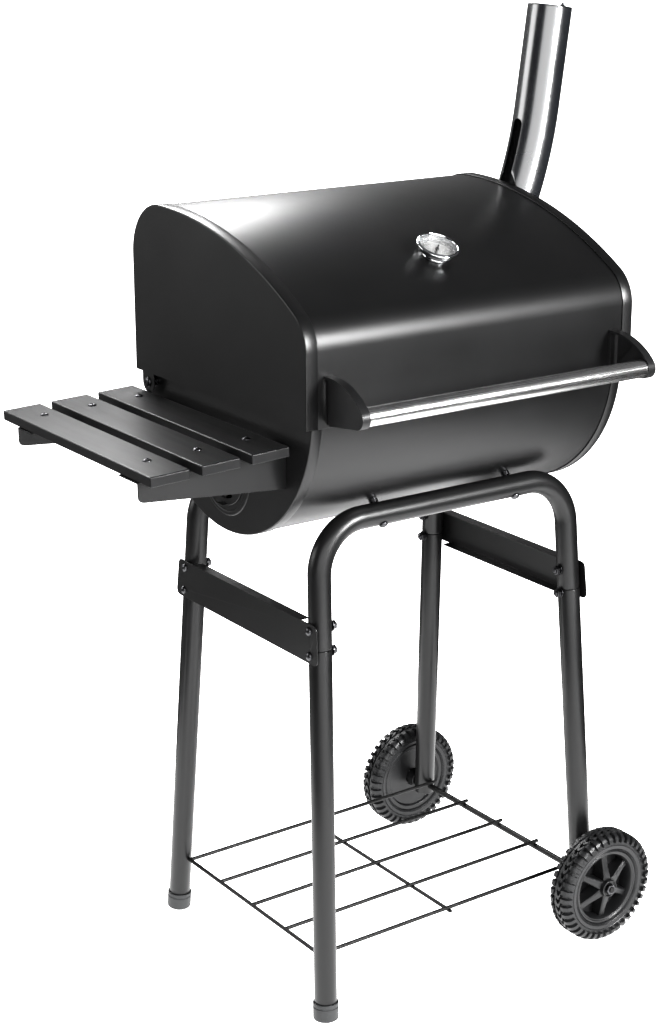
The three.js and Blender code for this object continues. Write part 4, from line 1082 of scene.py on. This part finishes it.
# the scale: an arc line with long and short marks
start, stop, ink = radians(dialLook["from"]), radians(dialLook["to"]), dialLook["inkFrom"]
bm = bmesh.new()
for i in range(dialLook["count"]):
    a = radians(dialLook["from"] + (dialLook["to"] - dialLook["from"]) * i / (dialLook["count"] - 1))
    far, wide = dialLook["long" if i % 4 == 0 else "short"]
    box(bm, dialLook["inner"], far, -wide, wide, ink, 8.22, dialPlace @ Matrix.Rotation(a, 4, "Z"))
line, inside = arc(0, 0, 16.9, start, stop, 60), arc(0, 0, 16.4, start, stop, 60)
for k in range(60):
    corners = [line[k], line[k + 1], inside[k + 1], inside[k]]
    skin(bm, [[dialPlace @ Vector((x, y, z)) for x, y in corners] for z in (ink, 8.2)], capped=True)
putPiece("dialScale", bm, "lid", "black_wire")
needlePlace = dialPlace @ Matrix.Translation((0, 0, dialLook["needle"])) @ Matrix.Rotation(start, 4, "Z")
rows = []
for x, wide in ((-9, 1.1), (-2, 0.8), (10, 0.55), (17, 0.2)):
    corners = ((-wide, 0), (-wide, 0.7), (wide, 0.7), (wide, 0))
    rows.append([needlePlace @ Vector((x, y, z)) for y, z in corners])
bm = bmesh.new()
skin(bm, rows, capped=True)
turn(bm, [(0, -0.1), (2.4, -0.1), (2.4, 1.0), (2.0, 1.5), (0, 1.6)], 28, needlePlace)
putNode("thermometer_needle", bm, "needle", "needle_paint", sharp=35)
low = dialLook["glass"]
glass = [(0, low), (22.4, low), (22.4, low + 1), (18, low + 1.8), (10, low + 2.3), (0, low + 2.5)]
bm = turned(glass, dialLook["around"], dialPlace)
putNode("thermometer_glass", bm, "lid", "dial_glass")
print("thermometer made")

# chimney: a leaning pipe that bends in to the lid's end, with a slot down its inner side
lean = radians(chimneyLook["lean"])
chimneyTop = Vector((chimneyLook["topX"], chimneyLook["y"], axisHeight + chimneyLook["topZ"]))


def chimneyLine():
    look = chimneyLook
    up = Vector((sin(lean), 0, cos(lean)))
    start = chimneyTop - up * look["straight"]
    line = [chimneyTop.copy(), chimneyTop - up * 0.5, chimneyTop - up * look["straight"] / 2]
    for i in range(look["steps"] + 1):
        a = lean + (radians(look["bendEnd"]) - lean) * i / look["steps"]
        x, z = start.x + look["bend"] * (cos(a) - cos(lean)), start.z - look["bend"] * (sin(a) - sin(lean))
        line.append(Vector((x, look["y"], z)))
    return line


radius, chimneyY = chimneyLook["radius"], chimneyLook["y"]
bm = bmesh.new()
hollowSweep(bm, chimneyLine(), radius, radius - chimneyLook["wall"], chimneyLook["around"])
chimney = putNode("chimney_tube", bm, "lid", "gloss_black_paint", sharp=40)
face = lidLook["half"] + gap
cutter = bmesh.new()
box(cutter, 0, face, -100, 200, axisHeight - 100, axisHeight + 400)
cutOut(chimney, cutter)
cutter = bmesh.new()
slotHalf, slotFoot = chimneyLook["slot"] / 2, axisHeight + chimneyLook["slotFoot"]
slotLine = [(chimneyY - slotHalf, slotFoot), (chimneyY + slotHalf, slotFoot)]
slotLine += arc(chimneyY, axisHeight + chimneyLook["slotTop"] - slotHalf, slotHalf, 0, pi, 20)
crossways(cutter, slotLine, 200, 272)
cutOut(chimney, cutter)


# an oval about the chimney's foot, cut off level at its top
def flangeLine(level, wide, high, top):
    return [(chimneyY + wide * cos(a), axisHeight + min(level + high * sin(a), top)) for a in around(96)]


# the flange that is welded to the lid's end
look = chimneyLook
outer = flangeLine(look["flangeZ"], look["flangeWide"], look["flangeHigh"], look["flangeTop"])
inner = flangeLine(look["flangeZ"] + 4, 27.0, 48, look["flangeTop"] - 2)
back, proud = face, face + look["flangeThick"]
bm = bmesh.new()
rows = ((back, outer), (proud, outer), (proud, inner), (back, inner))
skin(bm, [[(x, y, z) for y, z in outline] for x, outline in rows], closedRows=True)
putPiece("chimneyFlange", bm, "lid", "gloss_black_paint", bevel=0.4)

mouth = Matrix.Translation(chimneyTop) @ Matrix.Rotation(lean, 4, "Y")
bm = bmesh.new()
box(bm, look["capPivot"] - 5, 28.0, -5, 5, -4, -1, mouth)
putPiece("capLug", bm, "lid", "gloss_black_paint", bevel=0.4)
bm = disc(radius, gap, 1.2, 0.4, 96, mouth)
putNode("chimney_cap", bm, "chimney_cap", "gloss_black_paint", sharp=50)
boltPlace = mouth @ Matrix.Translation((look["capPivot"], 0, 0))
profile = [(0, -9), (2, -9), (2, 1.9), (4.4, 1.9), (4.4, 2.3), (4.2, 3.0), (2, 4.5), (2, 6.4)]
bm = turned(profile + [(1.4, 7), (0, 7)], 28, boltPlace)
hexNut(bm, boltPlace @ Matrix.Translation((0, 0, -8.4)), 4.3, 3.4, 2.05)
putPiece("capBolt", bm, "lid", "dark_zinc", ["chimney_cap_bolt"])
print("chimney made")
